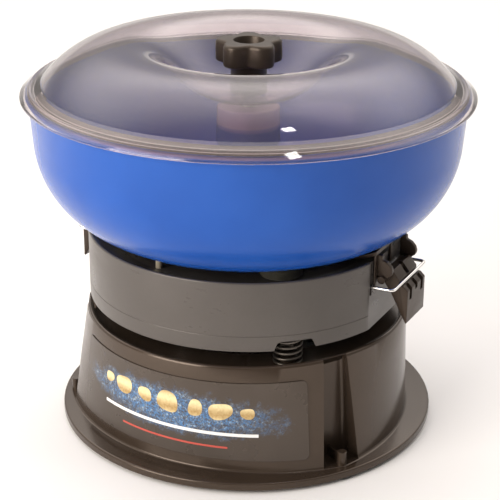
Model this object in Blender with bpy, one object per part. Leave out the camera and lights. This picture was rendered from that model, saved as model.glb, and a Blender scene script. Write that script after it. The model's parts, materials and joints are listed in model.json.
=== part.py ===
"""Vibratory rock tumbler: a clear lid on a ring-shaped bowl, latched to a sprung motor drum.

Metres, +Z up. The origin is on the ground under the middle of the base. Azimuths run from +X
towards +Y, so the label panel and the open front face -Y. Everything round shares the Z axis.
"""
import math

import bmesh
import bpy
from mathutils import Matrix, Vector

MM = 0.001
GAP = 0.3 * MM
ROUND_STEPS = 40
WALL_STEPS = 48
HOLE_STEPS = 10
SCREW_STEPS = 10

# Base housing
FLANGE_RADIUS = 153.6 * MM
FLANGE_BOTTOM = 2.5 * MM
FLANGE_TOP = 8.8 * MM
LIP_RADIUS = 130.8 * MM
LIP_TOP = 95.4 * MM
DECK_TOP = 88.4 * MM
DECK_THICKNESS = 3.0 * MM
DECK_OPENING = 93.0 * MM
BASE_WALL = 3.0 * MM
PANEL_AZIMUTHS = (-119.0, 1.0, 121.0)
PANEL_ARC = 164.0 * MM
PANEL_SETBACK = 30.8 * MM
POCKET_AZIMUTHS = (-59.0, 61.0, 181.0)
POCKET_BACK = 117.5 * MM
POCKET_CEILING = 84.0 * MM
POCKET_HALF_TOP = 10.5 * MM
POCKET_HALF_FOOT = 16.0 * MM
POST_RADIUS = 3.8 * MM
POST_TOP = 20.5 * MM
FOOT_CIRCLE = 143.5 * MM
FOOT_RADIUS = 9.4 * MM
FOOT_TOP = 4.2 * MM
LABEL_AZIMUTH = -115.0
LABEL_HALF_ANGLE = 45.0
LABEL_LOW = 19.0 * MM
LABEL_HIGH = 82.5 * MM
LABEL_THICKNESS = 0.5 * MM
GLAND_AZIMUTH = 121.0
GLAND_HEIGHT = 28.0 * MM

# Springs between the base and the drum
SPRING_AZIMUTHS = (-73.5, 46.5, 166.5)
SPRING_CIRCLE = 110.0 * MM
SPRING_RADIUS = 10.2 * MM
SPRING_WIRE = 1.3 * MM
SPRING_TURNS = 4.5
SPRING_SEAT_TOP = 122.0 * MM
SPRING_POST_RADIUS = 7.0 * MM
SPRING_POST_LENGTH = 6.0 * MM

# Drum
DRUM_RADIUS = 128.4 * MM
DRUM_BOTTOM = 106.8 * MM
DRUM_TOP = 162.6 * MM
DRUM_WALL = 3.0 * MM
WELL_RADIUS = 106.2 * MM
WELL_TOP = 153.2 * MM
FACET_DISTANCE = 123.1 * MM
NOTCH_HALF_WIDTH = 16.5 * MM
NOTCH_HEIGHT = 7.5 * MM
SPIGOT_RADIUS = 19.0 * MM
SPIGOT_TOP = 160.2 * MM
PAD_AZIMUTHS = (-73.5, 16.5, 106.5, 196.5)
PAD_CIRCLE = 90.5 * MM
PAD_RADIUS = 16.7 * MM
PIN_AZIMUTHS = (-131.0, 49.0)
PIN_CIRCLE = 102.7 * MM

# Motor, hung under the drum's deck
MOTOR_MIDDLE = 115.5 * MM
STATOR_RADIUS = 46.0 * MM
STATOR_HALF_STACK = 15.0 * MM
ROTOR_RADIUS = 24.6 * MM
SHAFT_RADIUS = 4.0 * MM
BEARING_RADIUS = 11.0 * MM
BELL_FLANGE = 53.0 * MM
BOLT_CIRCLE = 49.5 * MM
BOLT_AZIMUTHS = (90.0, 270.0)
PLATE_RADIUS = 62.0 * MM
PLATE_BOLT_CIRCLE = 56.0 * MM
PLATE_BOLT_AZIMUTHS = (30.0, 150.0, 270.0)
BOLT_HOLE = 2.3 * MM
SHAFT_BOTTOM = 32.0 * MM
WEIGHT_RADIUS = 34.0 * MM
WEIGHT_BOTTOM = 36.0 * MM
WEIGHT_TOP = 58.0 * MM
FAN_BOTTOM = 62.0 * MM

# Bowl
RIM_RADIUS = 172.4 * MM
RIM_TOP = 273.0 * MM
BOWL_SIDE_TOP = (171.1 * MM, 269.5 * MM)
BOWL_DRAFT = math.radians(4.4)
BOWL_ARC = 79.0 * MM
BOWL_BOTTOM = 162.3 * MM
BOWL_FLAT = 89.7 * MM
BOWL_WALL = 3.4 * MM
COLUMN_RADIUS = 24.7 * MM
COLUMN_TOP = 261.2 * MM
STUD_RADIUS = 3.0 * MM
STUD_TOP = 295.0 * MM

# Lid
LID_RADIUS = 177.5 * MM
SKIRT_BOTTOM = 271.2 * MM
LID_FLANGE_TOP = 278.4 * MM
LID_WALL = 2.6 * MM
LID_FLANGE_RADIUS = 170.2 * MM
DOME_BASE = 282.0 * MM
DOME_FOOT = 161.0 * MM
CREST_RADIUS = 101.0 * MM
CREST_TOP = 309.4 * MM
RECESS_RADIUS = 30.0 * MM
RECESS_FLOOR = 272.1 * MM

# Star knob
KNOB_BOTTOM = 273.6 * MM
HUB_RADIUS = 14.1 * MM
HEAD_BOTTOM = 294.4 * MM
KNOB_TOP = 312.2 * MM
LOBES = 5
LOBE_RADIUS = 26.9 * MM
VALLEY_RADIUS = 20.2 * MM
KNOB_RECESS = 11.7 * MM

# Latches: u runs outwards from the axis, v sideways, w up
LATCH_AZIMUTHS = {"right": -27.2, "left": 152.8}
PIVOT = (128.7 * MM, 146.6 * MM)
WIRE_SEAT = (141.5 * MM, 142.5 * MM)
WIRE_RADIUS = 1.3 * MM
BAIL_HALF = 33.3 * MM
BAIL_TIP = 121.7 * MM
HANDLE_HALF = 18.2 * MM
HANDLE_FACE = 147.4 * MM
HANDLE_BOTTOM = 110.0 * MM
EAR_INNER = 22.4 * MM
EAR_OUTER = 26.4 * MM
STRIP_HALF = 31.0 * MM
BRACKET_SCREW_REACH = 79.0 * MM
BRACKET_SCREW_HALF = 19.0 * MM


# ---------------------------------------------------------------- helpers
def polar(radius, degrees, z=0.0):
    angle = math.radians(degrees)
    return Vector((radius * math.cos(angle), radius * math.sin(angle), z))


def material(name, colour, roughness, metallic=0.0):
    made = bpy.data.materials.new(name)
    made.use_nodes = True
    shader = made.node_tree.nodes["Principled BSDF"]
    shader.inputs["Base Color"].default_value = (*colour, 1.0)
    shader.inputs["Roughness"].default_value = roughness
    shader.inputs["Metallic"].default_value = metallic
    return made


def empty(name, location, parent=None):
    made = bpy.data.objects.new(name, None)
    bpy.context.collection.objects.link(made)
    made.parent = parent
    offset = world_place(parent) if parent else Vector()
    made.location = Vector(location) - offset
    return made


def world_place(thing):
    place = thing.location.copy()
    while thing.parent:
        thing = thing.parent
        place += thing.location
    return place


def piece(name, shape, finish, parent=None):
    """Turn a bmesh in world coordinates into an object under its parent empty."""
    bmesh.ops.recalc_face_normals(shape, faces=shape.faces)
    if parent:
        bmesh.ops.translate(shape, verts=shape.verts, vec=-world_place(parent))
    mesh = bpy.data.meshes.new(name)
    shape.to_mesh(mesh)
    shape.free()
    mesh.shade_smooth()
    mesh.set_sharp_from_angle(angle=math.radians(35))
    mesh.materials.append(finish)
    made = bpy.data.objects.new(name, mesh)
    bpy.context.collection.objects.link(made)
    made.parent = parent
    return made


def trim(target, name, shape, operation="DIFFERENCE"):
    """Add or take away a helper body by a Boolean modifier."""
    parent = target.parent
    helper = piece(name, shape, target.data.materials[0], parent)
    helper.hide_render = True
    helper.display_type = "WIRE"
    modifier = target.modifiers.new(name, "BOOLEAN")
    modifier.operation = operation
    modifier.object = helper
    return helper


def lathe(profile, segments=48):
    """Spin a closed (radius, z) outline about Z."""
    shape = bmesh.new()
    corners = [shape.verts.new((radius, 0.0, z)) for radius, z in profile]
    edges = [shape.edges.new(pair) for pair in zip(corners, corners[1:])]
    if profile[0][0] > 0 or profile[-1][0] > 0:
        edges.append(shape.edges.new((corners[-1], corners[0])))
    bmesh.ops.spin(
        shape, geom=corners + edges, cent=(0, 0, 0), axis=(0, 0, 1),
        angle=2 * math.pi, steps=segments, use_merge=True,
    )
    bmesh.ops.remove_doubles(shape, verts=shape.verts, dist=1e-6)
    return shape


def loft(rings):
    """Skin rings of equal point counts and cap both ends."""
    shape = bmesh.new()
    rows = [[shape.verts.new(point) for point in ring] for ring in rings]
    count = len(rows[0])
    for low, high in zip(rows, rows[1:]):
        for k in range(count):
            after = (k + 1) % count
            shape.faces.new((low[k], low[after], high[after], high[k]))
    shape.faces.new(rows[0])
    shape.faces.new(rows[-1])
    return shape


def prism(outline, start, end):
    """Extrude a (u, w) outline along v from start to end."""
    return loft([[Vector((u, v, w)) for u, w in outline] for v in (start, end)])


def block(low, high):
    shape = bmesh.new()
    size = Vector(high) - Vector(low)
    middle = (Vector(high) + Vector(low)) / 2
    bmesh.ops.create_cube(shape, size=1.0, matrix=Matrix.LocRotScale(middle, None, size))
    return shape


def rod(radius, low, high, segments=16):
    return lathe([(0.0, low), (radius, low), (radius, high), (0.0, high)], segments)


def moved(shape, offset):
    bmesh.ops.translate(shape, verts=shape.verts, vec=Vector(offset))
    return shape


def turned(shape, degrees, axis="Z"):
    spin = Matrix.Rotation(math.radians(degrees), 3, axis)
    bmesh.ops.rotate(shape, verts=shape.verts, cent=(0, 0, 0), matrix=spin)
    return shape


def joined(shapes):
    """Collect separate bodies in one bmesh."""
    whole = shapes[0]
    for extra in shapes[1:]:
        mesh = bpy.data.meshes.new("joined")
        extra.to_mesh(mesh)
        extra.free()
        whole.from_mesh(mesh)
        bpy.data.meshes.remove(mesh)
    return whole


def arc(centre, radius, start, end, steps):
    """Points on a circle of the (u, w) or (radius, z) plane, angles in degrees."""
    points = []
    for k in range(steps + 1):
        angle = math.radians(start + (end - start) * k / steps)
        points.append((centre[0] + radius * math.cos(angle), centre[1] + radius * math.sin(angle)))
    return points


def wire(name, points, radius, finish, parent=None):
    """A round wire along points, as a bevelled curve with filled ends."""
    curve = bpy.data.curves.new(name, "CURVE")
    curve.dimensions = "3D"
    curve.bevel_depth = radius
    curve.bevel_resolution = 1
    curve.use_fill_caps = True
    spline = curve.splines.new("POLY")
    spline.points.add(len(points) - 1)
    offset = world_place(parent) if parent else Vector()
    for slot, point in zip(spline.points, points):
        slot.co = (*(Vector(point) - offset), 1.0)
    curve.materials.append(finish)
    made = bpy.data.objects.new(name, curve)
    bpy.context.collection.objects.link(made)
    made.parent = parent
    return made


# ---------------------------------------------------------------- base
def panel_offset(degrees):
    """Angle from the middle of the nearest of the three wall panels, in radians."""
    offset = (degrees - PANEL_AZIMUTHS[0] + 60.0) % 120.0 - 60.0
    return math.radians(offset)


def wall_radius(degrees, z):
    """The housing wall runs straight from a flattened three-lobed foot to a round lip."""
    offset = panel_offset(degrees)
    foot = math.sqrt(PANEL_ARC ** 2 - (PANEL_SETBACK * math.sin(offset)) ** 2)
    foot -= PANEL_SETBACK * math.cos(offset)
    share = (z - FLANGE_TOP) / (LIP_TOP - FLANGE_TOP)
    return foot + (LIP_RADIUS - foot) * share


def wall_ring(z, inset=0.0, steps=WALL_STEPS):
    ring = []
    for k in range(steps):
        degrees = PANEL_AZIMUTHS[0] + 360.0 * k / steps
        ring.append(polar(wall_radius(degrees, max(z, FLANGE_TOP)) - inset, degrees, z))
    return ring


def round_ring(radius, z, steps=WALL_STEPS):
    return [polar(radius, PANEL_AZIMUTHS[0] + 360.0 * k / steps, z) for k in range(steps)]


def pocket_cutter(margin, floor):
    """The three foot pockets, as tapered blocks; margin thickens them for the inside."""
    shapes = []
    for degrees in POCKET_AZIMUTHS:
        rings = []
        for z, half in ((floor, POCKET_HALF_FOOT), (POCKET_CEILING + margin, POCKET_HALF_TOP)):
            near = POCKET_BACK - margin
            far = FLANGE_RADIUS + 10 * MM
            wide = half + margin
            rings.append([Vector(p) for p in (
                (near, -wide, z), (far, -wide, z), (far, wide, z), (near, wide, z))])
        shapes.append(turned(loft(rings), degrees))
    return joined(shapes)


def make_base(plastic):
    lip_inner = LIP_RADIUS - 4.5 * MM
    outside = loft([
        round_ring(FLANGE_RADIUS, FLANGE_BOTTOM),
        round_ring(FLANGE_RADIUS, FLANGE_TOP - 1.2 * MM),
        round_ring(FLANGE_RADIUS - 1.2 * MM, FLANGE_TOP),
        wall_ring(FLANGE_TOP),
        wall_ring(LIP_TOP - 2 * MM),
        round_ring(LIP_RADIUS - 1.8 * MM, LIP_TOP),
        round_ring(lip_inner, LIP_TOP),
        round_ring(lip_inner - 1 * MM, DECK_TOP),
    ])
    housing = piece("base_housing", outside, plastic)
    hollow = loft([
        wall_ring(FLANGE_BOTTOM - 2 * MM, BASE_WALL),
        wall_ring(FLANGE_TOP, BASE_WALL),
        wall_ring(DECK_TOP - DECK_THICKNESS, BASE_WALL + 1.4 * MM),
        round_ring(DECK_OPENING, DECK_TOP - DECK_THICKNESS),
        round_ring(DECK_OPENING, DECK_TOP + 2 * MM),
    ])
    core = trim(housing, "base_hollow", hollow)
    trim(core, "base_pocket_walls", pocket_cutter(BASE_WALL, -1 * MM))
    trim(housing, "base_pockets", pocket_cutter(0.0, FLANGE_TOP + 0.4 * MM))
    posts = []
    screw_holes = []
    for degrees in POCKET_AZIMUTHS:
        place = polar(FOOT_CIRCLE, degrees)
        posts.append(moved(rod(POST_RADIUS, FLANGE_TOP - 2 * MM, POST_TOP, 16), place))
        hole = [
            (0.0, 0.0), (FOOT_RADIUS + GAP, 0.0), (FOOT_RADIUS + GAP, FOOT_TOP + GAP),
            (2.1 * MM, FOOT_TOP + GAP), (2.1 * MM, POST_TOP - 2 * MM), (0.0, POST_TOP - 2 * MM),
        ]
        screw_holes.append(moved(lathe(hole, 16), place))
    for degrees in SPRING_AZIMUTHS:
        seat = rod(SPRING_POST_RADIUS, DECK_TOP - 1 * MM, DECK_TOP + SPRING_POST_LENGTH, 12)
        posts.append(moved(seat, polar(SPRING_CIRCLE, degrees)))
    trim(housing, "base_posts", joined(posts), "UNION")
    trim(housing, "base_screw_holes", joined(screw_holes))
    entry = turned(rod(6.3 * MM, 100 * MM, 160 * MM, 16), 90, "Y")
    moved(entry, (0, 0, GLAND_HEIGHT))
    trim(housing, "base_cord_entry", turned(entry, GLAND_AZIMUTH))


def make_feet(rubber, steel):
    for number, degrees in enumerate(POCKET_AZIMUTHS, 1):
        place = polar(FOOT_CIRCLE, degrees)
        outline = [
            (4.6 * MM, 0.0), (FOOT_RADIUS - 1 * MM, 0.0), (FOOT_RADIUS, 1 * MM),
            (FOOT_RADIUS, FOOT_TOP), (2.1 * MM, FOOT_TOP), (2.1 * MM, 2.4 * MM),
            (4.6 * MM, 2.4 * MM),
        ]
        piece(f"foot_{number}", moved(lathe(outline, 16), place), rubber)
        screw = [
            (0.0, 0.5 * MM), (3.6 * MM, 0.5 * MM), (4.0 * MM, 1.0 * MM), (4.0 * MM, 2.1 * MM),
            (1.8 * MM, 2.1 * MM), (1.8 * MM, POST_TOP - 4 * MM), (0.0, POST_TOP - 3 * MM),
        ]
        piece(f"foot_screw_{number}", moved(lathe(screw, SCREW_STEPS), place), steel)


def make_label(sheet):
    """A thin printed plate that follows the front panel's wall."""
    steps = 16
    rings = []
    for k in range(steps + 1):
        degrees = LABEL_AZIMUTH - LABEL_HALF_ANGLE + 2 * LABEL_HALF_ANGLE * k / steps
        ring = []
        for z, lift in ((LABEL_LOW, 0.0), (LABEL_HIGH, 0.0), (LABEL_HIGH, 1.0), (LABEL_LOW, 1.0)):
            stand_off = GAP + 0.2 * MM + lift * LABEL_THICKNESS
            ring.append(polar(wall_radius(degrees, z) + stand_off, degrees, z))
        rings.append(ring)
    piece("label_plate", loft(rings), sheet)


def make_gland(rubber):
    """The bushing in the rear wall that the mains lead would come out of."""
    wall = wall_radius(GLAND_AZIMUTH, GLAND_HEIGHT)
    outline = [
        (3.8 * MM, wall - 9 * MM), (5.9 * MM, wall - 9 * MM), (5.9 * MM, wall + 0.9 * MM),
        (9.5 * MM, wall + 0.9 * MM), (9.5 * MM, wall + 3.0 * MM), (7.2 * MM, wall + 5.0 * MM),
        (5.6 * MM, wall + 14 * MM), (3.8 * MM, wall + 14 * MM),
    ]
    bushing = turned(lathe(outline, 16), 90, "Y")
    moved(bushing, (0, 0, GLAND_HEIGHT))
    piece("cord_gland", turned(bushing, GLAND_AZIMUTH), rubber)


def make_springs(steel):
    """Open coils whose end turns lie flat on their seats."""
    low = DECK_TOP + GAP + SPRING_WIRE
    high = SPRING_SEAT_TOP - GAP - SPRING_WIRE
    steps = int(SPRING_TURNS * 8)
    flat = 0.75
    for number, degrees in enumerate(SPRING_AZIMUTHS, 1):
        centre = polar(SPRING_CIRCLE, degrees)
        points = []
        for k in range(steps + 1):
            turn = SPRING_TURNS * k / steps
            rise = (turn - flat) / (SPRING_TURNS - 2 * flat)
            z = low + (high - low) * min(max(rise, 0.0), 1.0)
            points.append(centre + polar(SPRING_RADIUS, 360 * turn, z))
        wire(f"spring_{number}", points, SPRING_WIRE, steel)


# ---------------------------------------------------------------- drum
def facet_cutter(distance):
    """Blocks beyond the two flats on which the latches sit."""
    low = (distance, -60 * MM, 60 * MM)
    high = (distance + 20 * MM, 60 * MM, 200 * MM)
    return joined([turned(block(low, high), azimuth) for azimuth in LATCH_AZIMUTHS.values()])


def make_drum(plastic, parent):
    cone_top = DRUM_RADIUS - 2.2 * MM
    outline = [
        (0.0, DRUM_BOTTOM), (DRUM_RADIUS, DRUM_BOTTOM), (DRUM_RADIUS, DRUM_TOP - 1.2 * MM),
        (DRUM_RADIUS - 1.1 * MM, DRUM_TOP), (cone_top, DRUM_TOP), (WELL_RADIUS, WELL_TOP),
        (SPIGOT_RADIUS, WELL_TOP), (SPIGOT_RADIUS - 0.8 * MM, SPIGOT_TOP), (0.0, SPIGOT_TOP),
    ]
    shroud = piece("drum_shroud", lathe(outline, WALL_STEPS), plastic, parent)
    trim(shroud, "drum_flats", facet_cutter(FACET_DISTANCE))
    slots = []
    for azimuth in LATCH_AZIMUTHS.values():
        for side in (-1, 1):
            middle = side * BAIL_HALF
            low = (BAIL_TIP - 2.1 * MM, middle - 1.8 * MM, 135 * MM)
            high = (DRUM_RADIUS + 5 * MM, middle + 1.8 * MM, DRUM_TOP + 5 * MM)
            slots.append(turned(block(low, high), azimuth))
    trim(shroud, "drum_bail_slots", joined(slots))
    holes = bolt_holes(WELL_TOP - 10 * MM, WELL_TOP - 1.2 * MM, PLATE_BOLT_CIRCLE, PLATE_BOLT_AZIMUTHS)
    trim(shroud, "drum_plate_holes", joined(holes))
    ceiling = WELL_TOP - DRUM_WALL
    inside = [
        (0.0, DRUM_BOTTOM - 5 * MM), (DRUM_RADIUS - DRUM_WALL, DRUM_BOTTOM - 5 * MM),
        (DRUM_RADIUS - DRUM_WALL, DRUM_TOP - 4.2 * MM),
        (WELL_RADIUS - 1 * MM, ceiling), (SPIGOT_RADIUS - 4 * MM, ceiling),
        (SPIGOT_RADIUS - 4 * MM, SPIGOT_TOP - DRUM_WALL), (0.0, SPIGOT_TOP - DRUM_WALL),
    ]
    core = trim(shroud, "drum_hollow", lathe(inside, WALL_STEPS))
    trim(core, "drum_flat_walls", facet_cutter(FACET_DISTANCE - DRUM_WALL))
    cutters = []
    seats = []
    for degrees in SPRING_AZIMUTHS:
        half = NOTCH_HALF_WIDTH
        low = DRUM_BOTTOM - 2 * MM
        high = DRUM_BOTTOM + NOTCH_HEIGHT
        ring = [(-half - 1 * MM, low), (half + 1 * MM, low),
                (half - 3 * MM, high), (3 * MM - half, high)]
        notch = loft([[Vector((u, v, w)) for v, w in ring] for u in (118 * MM, 140 * MM)])
        cutters.append(turned(notch, degrees))
        seat = [
            (0.0, SPRING_SEAT_TOP - SPRING_POST_LENGTH),
            (SPRING_POST_RADIUS, SPRING_SEAT_TOP - SPRING_POST_LENGTH),
            (SPRING_POST_RADIUS, SPRING_SEAT_TOP), (SPRING_RADIUS + 3.3 * MM, SPRING_SEAT_TOP),
            (SPRING_RADIUS + 3.3 * MM, DRUM_TOP), (0.0, DRUM_TOP),
        ]
        seats.append(moved(lathe(seat, 16), polar(SPRING_CIRCLE, degrees)))
    trim(shroud, "drum_notches", joined(cutters))
    trim(core, "drum_spring_seats", joined(seats))


def make_pads_and_pins(rubber, nylon, parent):
    for number, degrees in enumerate(PAD_AZIMUTHS, 1):
        outline = [
            (0.0, WELL_TOP + GAP), (PAD_RADIUS - 1 * MM, WELL_TOP + GAP),
            (PAD_RADIUS, WELL_TOP + 1.3 * MM), (PAD_RADIUS, BOWL_BOTTOM - 4.3 * MM),
            (PAD_RADIUS - 2.8 * MM, BOWL_BOTTOM - GAP), (0.0, BOWL_BOTTOM - GAP),
        ]
        pad = moved(lathe(outline, 18), polar(PAD_CIRCLE, degrees))
        piece(f"bowl_pad_{number}", pad, rubber, parent)
    for name, degrees in zip(("front", "rear"), PIN_AZIMUTHS):
        top = WELL_TOP + 9.5 * MM
        outline = [
            (0.0, WELL_TOP + GAP), (2.6 * MM, WELL_TOP + GAP), (2.6 * MM, top - 1.4 * MM),
            (1.8 * MM, top), (0.0, top),
        ]
        pin = moved(lathe(outline, 14), polar(PIN_CIRCLE, degrees))
        piece(f"locating_pin_{name}", pin, nylon, parent)


def bolt_holes(low, high, circle, azimuths):
    return [moved(rod(BOLT_HOLE, low, high, HOLE_STEPS), polar(circle, degrees)) for degrees in azimuths]


# ---------------------------------------------------------------- motor
def mirrored(profile, flip):
    """Mirror a motor profile about the middle of the stack for the lower end."""
    if not flip:
        return profile
    return [(radius, 2 * MOTOR_MIDDLE - z) for radius, z in profile]


def make_motor(steel, laminations, copper, plastic, parent):
    stack_top = MOTOR_MIDDLE + STATOR_HALF_STACK
    plate_low = WELL_TOP - DRUM_WALL - GAP - 3 * MM
    plate_high = plate_low + 3 * MM
    plate = lathe([
        (12 * MM, plate_low), (PLATE_RADIUS, plate_low), (PLATE_RADIUS, plate_high), (12 * MM, plate_high),
    ], 24)
    motor_plate = piece("motor_plate", plate, steel, parent)
    holes = bolt_holes(plate_low - 2 * MM, plate_high + 2 * MM, PLATE_BOLT_CIRCLE, PLATE_BOLT_AZIMUTHS)
    holes += bolt_holes(plate_low - 2 * MM, plate_high + 2 * MM, BOLT_CIRCLE, BOLT_AZIMUTHS)
    trim(motor_plate, "plate_holes", joined(holes))
    for number, degrees in enumerate(PLATE_BOLT_AZIMUTHS, 1):
        head = plate_low - GAP
        tip = WELL_TOP - 1.6 * MM
        bolt = lathe([
            (0.0, head - 3 * MM), (3.8 * MM, head - 3 * MM), (3.8 * MM, head),
            (2.0 * MM, head), (2.0 * MM, tip), (0.0, tip),
        ], SCREW_STEPS)
        piece(f"plate_bolt_{number}", moved(bolt, polar(PLATE_BOLT_CIRCLE, degrees)), steel, parent)
    stator_bore = ROTOR_RADIUS + 0.5 * MM
    stack_bottom = MOTOR_MIDDLE - STATOR_HALF_STACK
    stator = lathe([
        (stator_bore, stack_bottom), (STATOR_RADIUS, stack_bottom),
        (STATOR_RADIUS, stack_top), (stator_bore, stack_top),
    ], 24)
    piece("stator_core", stator, laminations, parent)
    for end, flip in (("top", False), ("bottom", True)):
        winding = [
            (28 * MM, stack_top + GAP), (40 * MM, stack_top + GAP), (40 * MM, stack_top + 6 * MM),
            (37 * MM, stack_top + 9 * MM), (31 * MM, stack_top + 9 * MM), (28 * MM, stack_top + 6 * MM),
        ]
        piece(f"winding_{end}", lathe(mirrored(winding, flip), 20), copper, parent)
        bell = [
            (STATOR_RADIUS - 3.5 * MM, stack_top + GAP), (BELL_FLANGE, stack_top + GAP),
            (BELL_FLANGE, stack_top + 3 * MM), (STATOR_RADIUS - 0.5 * MM, stack_top + 3 * MM),
            (STATOR_RADIUS - 1.5 * MM, stack_top + 15.2 * MM), (5.5 * MM, stack_top + 15.2 * MM),
            (5.5 * MM, stack_top + 12.8 * MM), (BEARING_RADIUS + GAP, stack_top + 12.8 * MM),
            (BEARING_RADIUS + GAP, stack_top + 5 * MM), (14 * MM, stack_top + 5 * MM),
            (14 * MM, stack_top + 12.2 * MM), (STATOR_RADIUS - 4 * MM, stack_top + 12.2 * MM),
        ]
        end_bell = piece(f"end_bell_{end}", lathe(mirrored(bell, flip), 20), plastic, parent)
        flange = mirrored([(0.0, stack_top)], flip)[0][1]
        bores = bolt_holes(flange - 6 * MM, flange + 6 * MM, BOLT_CIRCLE, BOLT_AZIMUTHS)
        trim(end_bell, f"bell_holes_{end}", joined(bores))
        bearing = [
            (SHAFT_RADIUS + GAP, stack_top + 5.5 * MM), (BEARING_RADIUS, stack_top + 5.5 * MM),
            (BEARING_RADIUS, stack_top + 12.5 * MM), (SHAFT_RADIUS + GAP, stack_top + 12.5 * MM),
        ]
        piece(f"bearing_{end}", lathe(mirrored(bearing, flip), 18), steel, parent)
    head = stack_bottom - 3 * MM - GAP
    tip = plate_high - 0.4 * MM
    for side, degrees in zip(("rear", "front"), BOLT_AZIMUTHS):
        bolt = lathe([
            (0.0, head - 3 * MM), (3.6 * MM, head - 3 * MM), (3.6 * MM, head),
            (2.0 * MM, head), (2.0 * MM, tip), (0.0, tip),
        ], SCREW_STEPS)
        piece(f"motor_bolt_{side}", moved(bolt, polar(BOLT_CIRCLE, degrees)), steel, parent)


def make_rotor(steel, laminations, plastic, parent):
    shaft_top = MOTOR_MIDDLE + 29.8 * MM
    shaft = lathe([
        (0.0, SHAFT_BOTTOM), (SHAFT_RADIUS - 0.6 * MM, SHAFT_BOTTOM),
        (SHAFT_RADIUS, SHAFT_BOTTOM + 0.6 * MM), (SHAFT_RADIUS, shaft_top - 0.6 * MM),
        (SHAFT_RADIUS - 0.6 * MM, shaft_top), (0.0, shaft_top),
    ], 20)
    piece("motor_shaft", shaft, steel, parent)
    bore = SHAFT_RADIUS + GAP
    low = MOTOR_MIDDLE - STATOR_HALF_STACK - 2 * MM
    high = MOTOR_MIDDLE + STATOR_HALF_STACK + 2 * MM
    core = lathe([(bore, low), (ROTOR_RADIUS, low), (ROTOR_RADIUS, high), (bore, high)], 24)
    piece("rotor_core", core, laminations, parent)
    disc = FAN_BOTTOM + 6 * MM
    fan_top = FAN_BOTTOM + 16 * MM
    hub = lathe([
        (bore, FAN_BOTTOM), (9 * MM, FAN_BOTTOM), (9 * MM, disc), (36 * MM, disc),
        (36 * MM, disc + 1.6 * MM), (9 * MM, disc + 1.6 * MM), (9 * MM, fan_top), (bore, fan_top),
    ], 24)
    fan = piece("cooling_fan", hub, plastic, parent)
    blade_low = (7 * MM, -0.8 * MM, disc + 1 * MM)
    blade_high = (34 * MM, 0.8 * MM, fan_top - 0.5 * MM)
    blades = [turned(block(blade_low, blade_high), 60 * k) for k in range(6)]
    trim(fan, "fan_blades", joined(blades), "UNION")
    outline = arc((0.0, 0.0), WEIGHT_RADIUS, 180, 360, 14) + arc((0.0, 0.0), 11 * MM, 0, 180, 8)
    half = loft([[Vector((x, y, z)) for x, y in outline] for z in (WEIGHT_BOTTOM, WEIGHT_TOP)])
    heavy = piece("eccentric_weight", half, steel, parent)
    trim(heavy, "weight_bore", rod(bore, WEIGHT_BOTTOM - 4 * MM, WEIGHT_TOP + 4 * MM, 16))
    middle = (0, 0, (WEIGHT_BOTTOM + WEIGHT_TOP) / 2)
    screw_hole = moved(turned(rod(2.8 * MM, -14 * MM, -3 * MM, 12), 90, "X"), middle)
    trim(heavy, "weight_screw_hole", screw_hole)
    grub = moved(turned(rod(2.5 * MM, -10.8 * MM, -4.3 * MM, 12), 90, "X"), middle)
    piece("weight_set_screw", grub, steel, parent)


# ---------------------------------------------------------------- bowl
def bowl_outside():
    """The outer wall from the rim down: drafted side, round corner, flat bottom."""
    centre = (BOWL_FLAT, BOWL_BOTTOM + BOWL_ARC)
    draft = math.degrees(BOWL_DRAFT)
    corner = arc(centre, BOWL_ARC, -draft, -90, 7)
    bead = [(RIM_RADIUS, RIM_TOP), (RIM_RADIUS, RIM_TOP - 2.4 * MM)]
    return bead + [(BOWL_SIDE_TOP[0] + 0.2 * MM, RIM_TOP - 2.8 * MM), BOWL_SIDE_TOP] + corner


def bowl_inside():
    centre = (BOWL_FLAT, BOWL_BOTTOM + BOWL_ARC)
    draft = math.degrees(BOWL_DRAFT)
    corner = arc(centre, BOWL_ARC - BOWL_WALL, -90, -draft, 6)
    floor = BOWL_BOTTOM + BOWL_WALL
    flare = arc((COLUMN_RADIUS + 16 * MM, floor + 14 * MM), 14 * MM, 180, 270, 3)
    column = [(STUD_RADIUS + 0.5 * MM, COLUMN_TOP), (COLUMN_RADIUS - 2 * MM, COLUMN_TOP),
              (COLUMN_RADIUS, COLUMN_TOP - 2 * MM)]
    return column + flare + corner + [(BOWL_SIDE_TOP[0] - BOWL_WALL, RIM_TOP - 1 * MM),
                                      (BOWL_SIDE_TOP[0] - BOWL_WALL + 1 * MM, RIM_TOP)]


def make_bowl(plastic, parent):
    ceiling = COLUMN_TOP - 4 * MM
    under_column = [(COLUMN_RADIUS, BOWL_BOTTOM), (COLUMN_RADIUS - 3.4 * MM, ceiling),
                    (STUD_RADIUS + 0.5 * MM, ceiling)]
    outline = bowl_outside() + under_column + bowl_inside()
    vessel = piece("bowl", lathe(outline, ROUND_STEPS), plastic, parent)
    holes = []
    for azimuth in LATCH_AZIMUTHS.values():
        for side in (-1, 1):
            hole = rod(BOLT_HOLE, BOWL_BOTTOM - 5 * MM, BOWL_BOTTOM + 2.4 * MM, HOLE_STEPS)
            moved(hole, (BRACKET_SCREW_REACH, side * BRACKET_SCREW_HALF, 0))
            holes.append(turned(hole, azimuth))
    trim(vessel, "bowl_screw_holes", joined(holes))


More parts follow.
